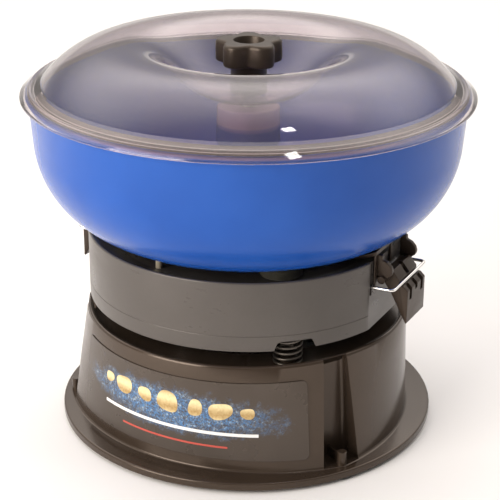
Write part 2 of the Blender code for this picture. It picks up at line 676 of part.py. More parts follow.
def make_stud(steel, parent):
    under = COLUMN_TOP - 4 * MM - GAP
    stud = lathe([
        (0.0, under - 4 * MM), (6 * MM, under - 4 * MM), (6 * MM, under),
        (STUD_RADIUS, under), (STUD_RADIUS, STUD_TOP - 1 * MM), (STUD_RADIUS - 1 * MM, STUD_TOP),
        (0.0, STUD_TOP),
    ], 20)
    piece("lid_stud", stud, steel, parent)
    low = COLUMN_TOP + GAP
    bore = STUD_RADIUS + GAP
    washer = [(bore, low), (8 * MM, low), (8 * MM, low + 1.2 * MM), (bore, low + 1.2 * MM)]
    piece("stud_washer", lathe(washer, 18), steel, parent)
    low += 1.2 * MM + GAP
    nut = piece("stud_nut", rod(5.6 * MM, low, low + 4 * MM, 6), steel, parent)
    trim(nut, "nut_bore", rod(bore, low - 1 * MM, low + 5 * MM, 14))


def bowl_underside(u, clearance):
    """Height of a surface that keeps a clearance under the bowl, for distances past its flat."""
    run = max(u - BOWL_FLAT, 0.0)
    return BOWL_BOTTOM + BOWL_ARC - math.sqrt((BOWL_ARC + clearance) ** 2 - run ** 2)


def make_bracket(side, azimuth, plastic, steel, parent):
    """Catch bracket: a tongue under the bowl, two side strips and two hooked ears."""
    inner = 71 * MM
    outer = PIVOT[0] - 3 * MM
    reach = [inner + (outer - inner) * k / 6 for k in range(7)]
    top = [(u, bowl_underside(u, GAP)) for u in reach]
    under = [(u, bowl_underside(u, GAP + 2.8 * MM)) for u in reversed(reach)]
    tongue = turned(prism(top + under, -STRIP_HALF, STRIP_HALF), azimuth)
    bracket = piece(f"latch_bracket_{side}", tongue, plastic, parent)
    pivot_u, pivot_w = PIVOT
    strip_low = pivot_w - 5.5 * MM
    strip_high = pivot_w + 22.2 * MM
    strip_back = FACET_DISTANCE + 0.6 * MM
    hook = [
        (strip_back + 0.4 * MM, pivot_w + 20.5 * MM), (pivot_u, pivot_w + 19.1 * MM),
        (pivot_u, pivot_w + 16.0 * MM), (pivot_u + 4.0 * MM, pivot_w + 14.5 * MM),
        (pivot_u + 7.4 * MM, pivot_w + 11.0 * MM), (pivot_u + 8.5 * MM, pivot_w + 7.3 * MM),
        (pivot_u + 7.6 * MM, pivot_w + 4.1 * MM), (pivot_u + 5.2 * MM, pivot_w + 2.3 * MM),
    ]
    hook += arc(PIVOT, 3.9 * MM, 25, 180, 7)
    hook += [(pivot_u - 3.9 * MM, strip_low + 0.4 * MM), (strip_back + 0.4 * MM, strip_low + 0.4 * MM)]
    additions = []
    for sign in (-1, 1):
        strip = block((strip_back, EAR_INNER + 0.2 * MM, strip_low),
                      (pivot_u - 3.7 * MM, STRIP_HALF - 0.2 * MM, strip_high))
        for shape in (strip, prism(hook, EAR_INNER, EAR_OUTER)):
            if sign < 0:
                bmesh.ops.scale(shape, verts=shape.verts, vec=(1, -1, 1))
            additions.append(turned(shape, azimuth))
    rib = block((strip_back, -1.2 * MM, pivot_w + 5.5 * MM), (outer - 0.3 * MM, 1.2 * MM, strip_high))
    additions.append(turned(rib, azimuth))
    names = ("strip_a", "ear_a", "strip_b", "ear_b", "rib")
    for name, shape in zip(names, additions):
        trim(bracket, f"bracket_{side}_{name}", shape, "UNION")
    holes = []
    low = BOWL_BOTTOM - GAP - 2.8 * MM
    tip = BOWL_BOTTOM + 2.1 * MM
    for number, sign in enumerate((-1, 1), 1):
        place = (BRACKET_SCREW_REACH, sign * BRACKET_SCREW_HALF, 0)
        hole = rod(BOLT_HOLE, low - 2 * MM, BOWL_BOTTOM + 1 * MM, HOLE_STEPS)
        holes.append(turned(moved(hole, place), azimuth))
        screw = lathe([
            (0.0, low - 2.1 * MM), (3.4 * MM, low - 2.1 * MM), (3.8 * MM, low - 1.4 * MM),
            (3.8 * MM, low - GAP), (2.0 * MM, low - GAP), (2.0 * MM, tip), (0.0, tip),
        ], SCREW_STEPS)
        piece(f"bracket_screw_{side}_{number}", turned(moved(screw, place), azimuth), steel, parent)
    trim(bracket, f"bracket_{side}_holes", joined(holes))


def make_handle(side, azimuth, plastic, parent):
    """Over-centre latch handle: a wedge with two nose tabs over the wire groove."""
    groove = WIRE_RADIUS + 0.35 * MM
    pivot_u, pivot_w = PIVOT
    seat_u, seat_w = WIRE_SEAT
    outline = [
        (pivot_u + 4.2 * MM, pivot_w - 12 * MM), (HANDLE_FACE - 1 * MM, HANDLE_BOTTOM),
        (HANDLE_FACE, HANDLE_BOTTOM + 0.4 * MM), (HANDLE_FACE, seat_w - groove - 0.8 * MM),
        (HANDLE_FACE - 0.8 * MM, seat_w - groove),
    ]
    outline += arc(WIRE_SEAT, groove, 270, 90, 6)
    outline += [
        (seat_u + 4.0 * MM, seat_w + groove), (seat_u + 4.4 * MM, seat_w + 3.1 * MM),
        (seat_u + 2.8 * MM, seat_w + 4.5 * MM), (pivot_u + 5.4 * MM, pivot_w + 5.6 * MM),
        (pivot_u + 3.0 * MM, pivot_w + 5.0 * MM),
    ]
    outline += arc(PIVOT, 4.2 * MM, 80, 230, 6)
    body = turned(prism(outline, -HANDLE_HALF, HANDLE_HALF), azimuth)
    handle = piece(f"latch_handle_{side}", body, plastic, parent)
    reach = EAR_OUTER + 1.5 * MM
    pin = moved(turned(rod(3.3 * MM, -reach, reach, 14), 90, "X"), (pivot_u, 0, pivot_w))
    trim(handle, f"handle_{side}_trunnions", turned(pin, azimuth), "UNION")
    step_u = pivot_u + 5.8 * MM
    step_w = pivot_w + 4.2 * MM
    floor = seat_w + 2.0 * MM
    gap_between_tabs = [
        (seat_u + 8 * MM, floor), (seat_u + 8 * MM, step_w + 7 * MM), (pivot_u - 1 * MM, step_w + 7 * MM),
        (pivot_u - 1 * MM, step_w), (step_u, step_w), (step_u, floor),
    ]
    cuts = [prism(gap_between_tabs, -2.7 * MM, 2.7 * MM)]
    for v, depth in ((-11.3 * MM, 14 * MM), (0.0, 9 * MM), (11.3 * MM, 14 * MM)):
        low = (HANDLE_FACE - 4 * MM, v - 2.4 * MM, seat_w - depth)
        high = (HANDLE_FACE + 3 * MM, v + 2.4 * MM, seat_w - 0.6 * MM)
        cuts.append(block(low, high))
    trim(handle, f"handle_{side}_slots", turned(joined(cuts), azimuth))


def make_bail(side, azimuth, steel, parent):
    """A U of round wire that snaps into the handle and reaches into the drum's slots."""
    corner = 4 * MM
    turn = [(WIRE_SEAT[0] - corner + corner * math.sin(math.radians(a)),
             -BAIL_HALF + corner - corner * math.cos(math.radians(a))) for a in (0, 30, 60, 90)]
    flat = [(BAIL_TIP, -BAIL_HALF)] + turn
    flat += [(u, -v) for u, v in reversed(flat)]
    points = []
    for u, v in flat:
        share = (WIRE_SEAT[0] - u) / (WIRE_SEAT[0] - BAIL_TIP)
        height = WIRE_SEAT[1] - 0.5 * MM * share
        points.append(Matrix.Rotation(math.radians(azimuth), 3, "Z") @ Vector((u, v, height)))
    wire(f"latch_bail_{side}", points, WIRE_RADIUS, steel, parent)


# ---------------------------------------------------------------- lid and knob
def dome(drop):
    """Dome from its foot over the crest and down into the middle recess, lowered by drop."""
    height = CREST_TOP - DOME_BASE
    reach = DOME_FOOT - CREST_RADIUS
    rise = []
    for angle in (0, 28, 50, 70, 90):
        turn = math.radians(angle)
        rise.append((CREST_RADIUS + (reach - drop) * math.cos(turn) ** 0.85,
                     DOME_BASE - drop / 2 + (height - drop / 2) * math.sin(turn) ** 1.9))
    fall = []
    for k in range(1, 8):
        share = k / 7
        depth = (1 - math.cos(math.pi * share ** 1.4)) / 2
        fall.append((CREST_RADIUS + (RECESS_RADIUS - CREST_RADIUS) * share,
                     CREST_TOP - drop - (CREST_TOP - RECESS_FLOOR) * depth))
    return rise + fall


def make_lid(clear, parent):
    """Flared skirt, sloping gasket ring, dome and middle recess with the stud's hole."""
    over = [(LID_RADIUS, SKIRT_BOTTOM), (LID_RADIUS, SKIRT_BOTTOM + 1.8 * MM),
            (LID_FLANGE_RADIUS, LID_FLANGE_TOP)]
    over += dome(0.0) + [(4.3 * MM, RECESS_FLOOR)]
    under = [(4.3 * MM, RECESS_FLOOR - LID_WALL)] + list(reversed(dome(LID_WALL)))
    under += [(LID_FLANGE_RADIUS - 1.2 * MM, LID_FLANGE_TOP - LID_WALL),
              (LID_RADIUS - 2.6 * MM, SKIRT_BOTTOM + 1.0 * MM), (LID_RADIUS - 2.6 * MM, SKIRT_BOTTOM)]
    piece("lid", lathe(over + under, ROUND_STEPS), clear, parent)


def make_gasket(rubber, parent):
    """Soft ring between the bowl's rim and the underside of the lid's sloping ring."""
    low = RIM_TOP + GAP
    inner = DOME_FOOT + 0.5 * MM
    outer = LID_FLANGE_RADIUS + 0.4 * MM
    shoulder = (LID_FLANGE_RADIUS - 1.6 * MM, LID_FLANGE_TOP - LID_WALL - GAP)
    ring = [(inner, low), (outer, low), (outer, shoulder[1] - 1.0 * MM), shoulder,
            (inner, shoulder[1] + 2.6 * MM)]
    piece("lid_gasket", lathe(ring, ROUND_STEPS), rubber, parent)


def make_knob(plastic, steel, washer_parent, knob_parent):
    low = RECESS_FLOOR + GAP
    bore = STUD_RADIUS + GAP
    high = KNOB_BOTTOM - GAP
    washer = [(bore, low), (11 * MM, low), (11 * MM, high), (bore, high)]
    piece("knob_washer", lathe(washer, 20), steel, washer_parent)
    steps = 8 * LOBES
    rings = []
    heights = ((HEAD_BOTTOM, 2.0), (HEAD_BOTTOM + 1.6 * MM, 0.4), (HEAD_BOTTOM + 9 * MM, 0.0),
               (KNOB_TOP - 4 * MM, 0.8), (KNOB_TOP - 1.2 * MM, 2.6), (KNOB_TOP, 6.0))
    middle = (LOBE_RADIUS + VALLEY_RADIUS) / 2
    swing = (LOBE_RADIUS - VALLEY_RADIUS) / 2
    for z, inset in heights:
        ring = []
        for k in range(steps):
            degrees = 360.0 * k / steps
            wave = math.cos(math.radians(LOBES * (degrees - 90)))
            full = middle + swing * (wave + 0.25 * (1 - wave * wave))
            ring.append(polar(full - inset * MM, degrees, z))
        rings.append(ring)
    knob = piece("knob", loft(rings), plastic, knob_parent)
    hub = rod(HUB_RADIUS, KNOB_BOTTOM, HEAD_BOTTOM + 4 * MM, 28)
    trim(knob, "knob_hub", hub, "UNION")
    floor = KNOB_TOP - 12.5 * MM
    hollow = lathe([
        (0.0, KNOB_BOTTOM - 2 * MM), (6.0 * MM, KNOB_BOTTOM - 2 * MM), (6.0 * MM, floor),
        (KNOB_RECESS, floor), (KNOB_RECESS, KNOB_TOP + 2 * MM), (0.0, KNOB_TOP + 2 * MM),
    ], 24)
    trim(knob, "knob_bore", hollow)
    low = KNOB_BOTTOM + 0.4 * MM
    insert = [(bore, low), (5.7 * MM, low), (5.7 * MM, floor - 0.5 * MM), (bore, floor - 0.5 * MM)]
    piece("knob_insert", lathe(insert, 18), steel, knob_parent)


# ---------------------------------------------------------------- assembly
for old in list(bpy.data.objects):
    bpy.data.objects.remove(old)

black_plastic = material("black_plastic", (0.055, 0.050, 0.046), 0.38)
drum_plastic = material("drum_plastic", (0.075, 0.070, 0.066), 0.42)
blue_plastic = material("blue_plastic", (0.020, 0.080, 0.480), 0.28)
clear_plastic = material("clear_plastic", (0.86, 0.85, 0.85), 0.06)
knob_plastic = material("knob_plastic", (0.035, 0.033, 0.030), 0.5)
black_rubber = material("black_rubber", (0.030, 0.030, 0.030), 0.8)
pad_rubber = material("pad_rubber", (0.070, 0.065, 0.045), 0.8)
gasket_rubber = material("gasket_rubber", (0.300, 0.270, 0.240), 0.7)
beige_nylon = material("beige_nylon", (0.600, 0.540, 0.420), 0.5)
zinc_steel = material("zinc_steel", (0.600, 0.600, 0.600), 0.3, 1.0)
bright_wire = material("bright_wire", (0.800, 0.800, 0.800), 0.15, 1.0)
lamination_steel = material("lamination_steel", (0.300, 0.300, 0.310), 0.5, 1.0)
copper_winding = material("copper_winding", (0.600, 0.250, 0.100), 0.4, 1.0)
label_film = material("label_film", (0.100, 0.140, 0.200), 0.3)

make_base(black_plastic)
make_feet(black_rubber, zinc_steel)
make_label(label_film)
make_gland(black_rubber)
make_springs(zinc_steel)

drum_axis = empty("drum_axis", (0, 0, DRUM_BOTTOM))
make_drum(drum_plastic, drum_axis)
make_pads_and_pins(pad_rubber, beige_nylon, drum_axis)
make_motor(zinc_steel, lamination_steel, copper_winding, black_plastic, drum_axis)
rotor_axis = empty("rotor_axis", (0, 0, MOTOR_MIDDLE), drum_axis)
make_rotor(zinc_steel, lamination_steel, black_plastic, rotor_axis)

bowl_axis = empty("bowl_axis", (0, 0, BOWL_BOTTOM), drum_axis)
make_bowl(blue_plastic, bowl_axis)
make_stud(zinc_steel, bowl_axis)
for side, azimuth in LATCH_AZIMUTHS.items():
    make_bracket(side, azimuth, black_plastic, zinc_steel, bowl_axis)
    hinge = empty(f"handle_axis_{side}", polar(PIVOT[0], azimuth, PIVOT[1]), bowl_axis)
    make_handle(side, azimuth, black_plastic, hinge)
    swing = empty(f"bail_axis_{side}", polar(WIRE_SEAT[0], azimuth, WIRE_SEAT[1]), hinge)
    make_bail(side, azimuth, bright_wire, swing)

lid_axis = empty("lid_axis", (0, 0, LID_FLANGE_TOP), bowl_axis)
make_lid(clear_plastic, lid_axis)
make_gasket(gasket_rubber, lid_axis)
washer_axis = empty("washer_axis", (0, 0, RECESS_FLOOR), lid_axis)
knob_axis = empty("knob_axis", (0, 0, KNOB_BOTTOM), washer_axis)
make_knob(knob_plastic, zinc_steel, washer_axis, knob_axis)
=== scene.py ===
"""Looks of the vibratory rock tumbler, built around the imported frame.

Metres, +Z up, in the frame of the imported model. Azimuths run from +X towards +Y, so the label and
the open front face -Y. Latch parts are drawn in their own plane: u outwards from the axis,
v sideways and w up, and then turned to the latch's azimuth.
"""

import json
import math

import bmesh
import bpy
from mathutils import Matrix, Vector


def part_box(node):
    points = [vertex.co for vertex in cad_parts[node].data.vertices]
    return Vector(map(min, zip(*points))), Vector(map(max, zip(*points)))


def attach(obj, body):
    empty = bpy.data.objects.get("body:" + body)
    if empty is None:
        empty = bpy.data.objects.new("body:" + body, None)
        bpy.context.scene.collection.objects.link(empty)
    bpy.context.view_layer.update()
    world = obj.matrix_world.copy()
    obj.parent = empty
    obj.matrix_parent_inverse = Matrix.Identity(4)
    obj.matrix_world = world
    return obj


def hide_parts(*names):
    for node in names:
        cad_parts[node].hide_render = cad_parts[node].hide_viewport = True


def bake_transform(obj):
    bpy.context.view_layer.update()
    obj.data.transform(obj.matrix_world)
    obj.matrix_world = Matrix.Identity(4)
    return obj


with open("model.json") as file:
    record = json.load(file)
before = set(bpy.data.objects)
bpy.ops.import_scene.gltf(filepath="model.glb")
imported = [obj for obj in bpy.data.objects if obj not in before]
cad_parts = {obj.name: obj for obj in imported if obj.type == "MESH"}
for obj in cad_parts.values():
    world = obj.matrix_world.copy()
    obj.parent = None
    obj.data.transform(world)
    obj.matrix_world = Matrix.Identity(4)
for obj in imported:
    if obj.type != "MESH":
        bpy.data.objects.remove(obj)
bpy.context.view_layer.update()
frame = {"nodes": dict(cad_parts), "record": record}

MM = 0.001
FINE = 192
NODES = frame["nodes"]


def heights(node):
    low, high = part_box(node)
    return low.z, high.z


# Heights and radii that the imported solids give
FLANGE_BOTTOM, LIP_TOP = heights("base_housing")
DRUM_BOTTOM, DRUM_TOP = heights("drum_shroud")
BOWL_BOTTOM, RIM_TOP = heights("bowl")
LID_BOTTOM, CREST_TOP = heights("lid")
KNOB_BOTTOM, KNOB_TOP = heights("knob")
FLANGE_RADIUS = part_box("base_housing")[1].x
RIM_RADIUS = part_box("bowl")[1].x
LID_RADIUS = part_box("lid")[1].x

# Base housing
FLANGE_TOP = FLANGE_BOTTOM + 6.3 * MM
LIP_RADIUS = 130.8 * MM
LIP_BEAD = 2.2 * MM
DECK_TOP = LIP_TOP - 7.0 * MM
DECK_OPENING = 93.0 * MM
BASE_WALL = 3.0 * MM
PANEL_AZIMUTHS = (-119.0, 1.0, 121.0)
PANEL_ARC = 164.0 * MM
PANEL_SETBACK = 30.8 * MM
POCKET_AZIMUTHS = (-59.0, 61.0, 181.0)
POCKET_BACK = 124.5 * MM
POCKET_CEILING = 95.0 * MM
POCKET_HALVES = (16.0 * MM, 10.5 * MM)
POST_RADIUS = 3.8 * MM
POST_TOP = 20.5 * MM
FOOT_CIRCLE = 143.5 * MM
FOOT_RADIUS = 9.4 * MM
LABEL_AZIMUTH = -115.0
LABEL_HALF_ANGLE = 45.0
LABEL_CORNER = 4.5 * MM
LABEL_THICKNESS = 1.0 * MM
MM_PER_DEGREE = 2.45
ART_AZIMUTH = -116.0
ART_LIFT = 1.06 * MM
BAR_FALL = 0.5 * MM
PEBBLE_HEIGHT = 60.0 * MM
PEBBLE_SLOPE = 0.075 * MM
MIST_HEIGHT = 54.0 * MM
MIST_SLOPE = -4.5 * MM
MIST_HALF_ANGLE = math.radians(36.0)
MIST_HALF_HEIGHT = 17.0 * MM
GLAND_AZIMUTH = 121.0
GLAND_HEIGHT = 28.0 * MM
GLAND_HOLE = 6.3 * MM

# Springs
SPRING_AZIMUTHS = (-73.5, 46.5, 166.5)
SPRING_CIRCLE = 110.0 * MM
SPRING_RADIUS = 10.2 * MM
SPRING_WIRE = 1.3 * MM
SPRING_TURNS = 8.0
SPRING_SEAT_TOP = 122.0 * MM
SPRING_GAP = 0.3 * MM

# Drum
DRUM_RADIUS = 128.4 * MM
DRUM_WALL = 3.0 * MM
WELL_RADIUS = 106.2 * MM
WELL_TOP = 153.2 * MM
FACET_DISTANCE = 123.1 * MM
SPIGOT_RADIUS = 19.0 * MM
SPIGOT_TOP = 160.2 * MM
PAD_RADIUS = 16.7 * MM

# Bowl
BOWL_SIDE_TOP = (171.1 * MM, 269.5 * MM)
BOWL_DRAFT = 4.4
BOWL_ARC = 79.0 * MM
BOWL_FLAT = 89.7 * MM
BOWL_WALL = 3.4 * MM
COLUMN_RADIUS = 24.7 * MM
COLUMN_TOP = 261.2 * MM
COLUMN_FILLET = 14.0 * MM
STUD_RADIUS = 3.0 * MM

# Lid
SKIRT_BOTTOM = LID_BOTTOM + 1.7 * MM
LID_FLANGE_TOP = 278.4 * MM
LID_WALL = 2.6 * MM
LID_FLANGE_RADIUS = 170.2 * MM
DOME_BASE = 282.0 * MM
DOME_FOOT = 161.0 * MM
CREST_RADIUS = 101.0 * MM
RECESS_RADIUS = 30.0 * MM
RECESS_FLOOR = 272.1 * MM
STUD_HOLE = 4.3 * MM
GASKET_RIBS = 5
GASKET_RISE = 2.6 * MM
GASKET_LINES = 165.6 * MM
LINE_PITCH = 2.0 * MM

# Knob
HUB_RADIUS = 14.1 * MM
HEAD_BOTTOM = 294.4 * MM
LOBES = 5
LOBE_RADIUS = 26.9 * MM
VALLEY_RADIUS = 20.2 * MM
KNOB_RECESS = 11.7 * MM
KNOB_BORE = 6.0 * MM

# Latches
LATCH_AZIMUTHS = {"right": -27.2, "left": 152.8}
PIVOT = (128.7 * MM, 146.6 * MM)
WIRE_SEAT = (141.5 * MM, 142.5 * MM)
WIRE_RADIUS = 1.3 * MM
BAIL_HALF = 33.3 * MM
BAIL_TIP = 121.7 * MM
SLOT_HALF = 1.8 * MM
TRUNNION_RADIUS = 3.3 * MM
HANDLE_HALF = 18.2 * MM
HANDLE_FACE = 147.4 * MM
HANDLE_BOTTOM = 110.0 * MM
EAR_INNER = 22.4 * MM
EAR_OUTER = 26.4 * MM
STRIP_HALF = 31.0 * MM
BRACKET_SCREW_REACH = 79.0 * MM
BRACKET_SCREW_HALF = 19.0 * MM
SCREW_HOLE = 2.3 * MM

# Room, in metres and watts; a light is its name, place, side, power and colour
FLOOR_RADIUS = 2.4
LIGHT_TARGET = (0.0, 0.0, 0.15)
LIGHTS = (
    ("key_left", (-1.4, -1.2, 0.9), 1.3, 44, (1.0, 0.93, 0.86)),
    ("small_right", (0.32, -0.42, 1.45), 0.10, 0.7, (1.0, 0.98, 0.96)),
)
SKY_TINT = (1.0, 0.945, 0.90)
FRONT_DARK = 0.18
REAR_BRIGHT = 1.1
LOW_SKY = 0.48
HIGH_SKY = 2.3
HORIZON = 0.85
CAMERA_PLACE = (0.0020, -1.14, 0.6049)
CAMERA_DOWN = 22.333
CAMERA_ROLL = 0.415
CAMERA_LENS = 108.8

# Tints and texture numbers that several finishes share
# Warm tint painted into the reflections of the plastics and the label, standing in for a warm backdrop.
WARM_REFLECTION_TINT = (1.0, 0.84, 0.72)
WIPED = (1.0, 1.0, 2.5)


# ---- shapes: (points, faces) pairs
def polar(radius, degrees, z=0.0):
    angle = math.radians(degrees)
    return Vector((radius * math.cos(angle), radius * math.sin(angle), z))


def arc(centre, radius, start, end, steps):
    """Points on a circle of the (u, w) or (radius, z) plane, angles in degrees."""
    points = []
    for k in range(steps + 1):
        angle = math.radians(start + (end - start) * k / steps)
        points.append((centre[0] + radius * math.cos(angle), centre[1] + radius * math.sin(angle)))
    return points


def beside(point, *steps):
    """Points at (across, up) steps in millimetres from a point."""
    return [(point[0] + across * MM, point[1] + up * MM) for across, up in steps]


def rectangle(low, high):
    return [low, (high[0], low[1]), high, (low[0], high[1])]


def circles(profile, count, start=0.0):
    """One ring of points for each (radius, z)."""
    return [[polar(radius, start + 360.0 * k / count, z) for k in range(count)] for radius, z in profile]


def softened(outline, radius, steps=4, sharpest=20.0):
    """Round the corners of a closed outline, each by no more than a third of its sides."""
    result = []
    count = len(outline)
    for k, corner in enumerate(outline):
        here = Vector(corner)
        back = Vector(outline[k - 1]) - here
        ahead = Vector(outline[(k + 1) % count]) - here
        if back.length < 1e-9 or ahead.length < 1e-9:
            continue
        if back.angle(ahead) > math.radians(180.0 - sharpest):
            result.append(tuple(here))
            continue
        reach = min(radius, back.length / 3, ahead.length / 3)
        start = here + back.normalized() * reach
        end = here + ahead.normalized() * reach
        for step in range(steps + 1):
            t = step / steps
            point = start * (1 - t) ** 2 + here * (2 * t * (1 - t)) + end * t ** 2
            result.append(tuple(point))
    return result


def skin(rings, closed_along=False, capped=True):
    """Join rings of equal point counts into a surface."""
    points = [tuple(point) for ring in rings for point in ring]
    count = len(rings[0])
    faces = []
    spans = len(rings) if closed_along else len(rings) - 1
    for row in range(spans):
        low = row * count
        high = ((row + 1) % len(rings)) * count
        for k in range(count):
            after = (k + 1) % count
            faces.append((low + k, low + after, high + after, high + k))
    if capped and not closed_along:
        faces.append(tuple(reversed(range(count))))
        faces.append(tuple(range((len(rings) - 1) * count, len(rings) * count)))
    return points, faces


def lathe(profile, segments=FINE):
    """Spin a closed (radius, z) outline about Z; points on the axis become poles."""
    points = []
    rows = []
    for radius, z in profile:
        if radius < 1e-7:
            rows.append([len(points)])
            points.append((0.0, 0.0, z))
            continue
        rows.append(list(range(len(points), len(points) + segments)))
        points += [tuple(polar(radius, 360.0 * k / segments, z)) for k in range(segments)]
    faces = []
    for low, high in zip(rows, rows[1:] + rows[:1]):
        if len(low) == 1 and len(high) == 1:
            continue
        for k in range(segments):
            after = (k + 1) % segments
            if len(low) == 1:
                faces.append((low[0], high[after], high[k]))
            elif len(high) == 1:
                faces.append((low[k], low[after], high[0]))
            else:
                faces.append((low[k], low[after], high[after], high[k]))
    return points, faces


def inset(outline, distance):
    """Move a closed outline's points inwards along the mean of their sides' normals."""
    corners = [Vector(point) for point in outline]
    area = sum(corners[k - 1].x * here.y - here.x * corners[k - 1].y for k, here in enumerate(corners))
    turn = 1.0 if area > 0 else -1.0
    result = []
    for k, here in enumerate(corners):
        before = (here - corners[k - 1]).normalized()
        after = (corners[(k + 1) % len(corners)] - here).normalized()
        normal = Vector((-(before.y + after.y), before.x + after.x)) * turn
        result.append(tuple(here + normal * (distance / max(normal.length, 0.6))))
    return result


def slab(outline, start, end, edge=0.0, steps=3):
    """Extrude a (u, w) outline along v, with its end edges rounded."""
    levels = [(0.0, 0.0)]
    if edge > 0:
        turns = [math.pi / 2 * k / steps for k in range(steps + 1)]
        levels = [(edge * (1 - math.sin(turn)), edge * (1 - math.cos(turn))) for turn in turns]
    places = [(start + along, drawn_in) for along, drawn_in in reversed(levels)]
    places += [(end - along, drawn_in) for along, drawn_in in levels]
    return skin([[(u, v, w) for u, w in inset(outline, drawn_in)] for v, drawn_in in places])


def block(low, high):
    return slab(rectangle((low[0], low[2]), (high[0], high[2])), low[1], high[1])


def rod(radius, low, high, segments, edge=0.0):
    side = [(radius, low), (radius, high)]
    if edge > 0:
        side = [(radius - edge, low), (radius, low + edge), (radius, high - edge), (radius - edge, high)]
    return lathe([(0.0, low)] + side + [(0.0, high)], segments)


def moved(shape, offset):
    offset = Vector(offset)
    return [tuple(Vector(point) + offset) for point in shape[0]], shape[1]


def turned(shape, degrees, axis="Z"):
    spin = Matrix.Rotation(math.radians(degrees), 3, axis)
    return [tuple(spin @ Vector(point)) for point in shape[0]], shape[1]


def flipped(shape):
    """Mirror across the u-w plane."""
    return [(x, -y, z) for x, y, z in shape[0]], [tuple(reversed(face)) for face in shape[1]]


def joined(shapes):
    points = []
    faces = []
    for shape in shapes:
        start = len(points)
        points += shape[0]
        faces += [tuple(start + k for k in face) for face in shape[1]]
    return points, faces


def tube(path, radius, sides):
    """A round wire along a path, with rounded ends."""
    path = [Vector(point) for point in path]
    rings = []
    normal = None
    count = len(path)
    for k, here in enumerate(path):
        along = (path[min(k + 1, count - 1)] - path[max(k - 1, 0)]).normalized()
        if normal is None:
            normal = along.orthogonal().normalized()
        normal = (normal - along * normal.dot(along)).normalized()
        side = along.cross(normal)
        ring = [polar(1.0, 360.0 * s / sides).xy for s in range(sides)]
        layers = [(0.0, radius)]
        if k in (0, count - 1):
            layers = [(radius * (math.sin(t) - 1), radius * math.cos(t)) for t in (0.0, 0.5, 1.0, 1.35)]
        if k == 0:
            layers = [(-shift, size) for shift, size in reversed(layers)]
        for shift, size in layers:
            middle = here + along * shift
            rings.append([middle + (normal * c + side * s) * size for c, s in ring])
    return skin(rings)


# ---- objects
def raw_object(name, shape, finish=None):
    mesh = bpy.data.meshes.new(name)
    mesh.from_pydata([tuple(point) for point in shape[0]], [], shape[1])
    mesh.validate()
    model = bmesh.new()
    model.from_mesh(mesh)
    bmesh.ops.remove_doubles(model, verts=model.verts, dist=1e-7)
    bmesh.ops.recalc_face_normals(model, faces=model.faces)
    model.to_mesh(mesh)
    model.free()
    if finish:
        mesh.materials.append(finish)
    made = bpy.data.objects.new(name, mesh)
    bpy.context.scene.collection.objects.link(made)
    return made


def combine(target, helper, operation="DIFFERENCE"):
    """Boolean with an object that is used up."""
    modifier = target.modifiers.new("combine", "BOOLEAN")
    modifier.operation = operation
    modifier.solver = "EXACT"
    modifier.object = helper
    depsgraph = bpy.context.evaluated_depsgraph_get()
    baked = bpy.data.meshes.new_from_object(target.evaluated_get(depsgraph))
    target.modifiers.clear()
    target.data = baked
    bpy.data.objects.remove(helper)


def cut(target, shape):
    combine(target, raw_object("helper", shape, target.data.materials[0]))


def add(target, shape):
    combine(target, raw_object("helper", shape, target.data.materials[0]), "UNION")


def shaded(target, angle=32.0):
    target.data.shade_smooth()
    target.data.set_sharp_from_angle(angle=math.radians(angle))


def placed(target, body, nodes, angle=32.0):
    """Shade a finished piece, put it on its body, and let it stand for its CAD nodes."""
    shaded(target, angle)
    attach(target, body)
    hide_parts(*nodes)


# ---- materials
class Nodes:
    """A small helper around the node tree of one material or world."""

    def __init__(self, name, home=None):
        self.owner = (bpy.data.materials if home is None else home).new(name)
        self.owner.use_nodes = True
        self.tree = self.owner.node_tree
        self.source = self.tree.nodes.new("ShaderNodeTexCoord").outputs
        self.coordinates = self.source["Object"]

    def add(self, kind, inputs=None, **settings):
        node = self.tree.nodes.new(kind)
        for key, value in settings.items():
            setattr(node, key, value)
        for key, value in (inputs or {}).items():
            self.feed(node.inputs[key], value)
        return node

    def feed(self, socket, value):
        if isinstance(value, bpy.types.NodeSocket):
            self.tree.links.new(value, socket)
        else:
            socket.default_value = value

    def noise(self, scale, detail=4.0, roughness=0.55, stretch=None):
        vector = self.coordinates
        if stretch:
            vector = self.add("ShaderNodeMapping", {"Vector": vector, "Scale": stretch}).outputs["Vector"]
        node = self.add("ShaderNodeTexNoise", {
            "Vector": vector, "Scale": scale, "Detail": detail, "Roughness": roughness})
        return node.outputs["Fac"]

    def axes(self, vector):
        return self.add("ShaderNodeSeparateXYZ", {"Vector": vector}).outputs

    def radius(self):
        """Distance from the Z axis."""
        place = self.axes(self.coordinates)
        squares = [self.math("POWER", place[axis], 2.0) for axis in ("X", "Y")]
        return self.math("SQRT", self.math("ADD", *squares))

    def scaled(self, value, low, high, start=0.3, end=0.7, curve="LINEAR"):
        """Low at the value start and high at the value end."""
        node = self.add("ShaderNodeMapRange", {
            "Value": value, "From Min": start, "From Max": end, "To Min": low, "To Max": high},
            interpolation_type=curve)
        return node.outputs["Result"]

    def cloud(self, *noise, low=0.0, high=1.0):
        return self.scaled(self.noise(*noise), low, high)

    def product(self, first, *others):
        for other in others:
            first = self.math("MULTIPLY", first, other)
        return first

    def blend(self, share, first, second):
        node = self.add("ShaderNodeMix", data_type="RGBA")
        self.feed(node.inputs["Factor"], share)
        for socket, colour in ((node.inputs[6], first), (node.inputs[7], second)):
            self.feed(socket, colour if isinstance(colour, bpy.types.NodeSocket) else (*colour, 1.0))
        return node.outputs[2]

    def math(self, operation, *values):
        node = self.add("ShaderNodeMath", operation=operation)
        for socket, value in zip(node.inputs, values):
            self.feed(socket, value)
        return node.outputs["Value"]

    def bump(self, height, distance, strength=1.0, under=None):
        node = self.add("ShaderNodeBump", {"Height": height, "Distance": distance, "Strength": strength})
        if under:
            self.feed(node.inputs["Normal"], under)
        return node.outputs["Normal"]

    def set(self, **values):
        shader = self.tree.nodes["Principled BSDF"]
        for key, value in values.items():
            self.feed(shader.inputs[key.replace("_", " ")], value)


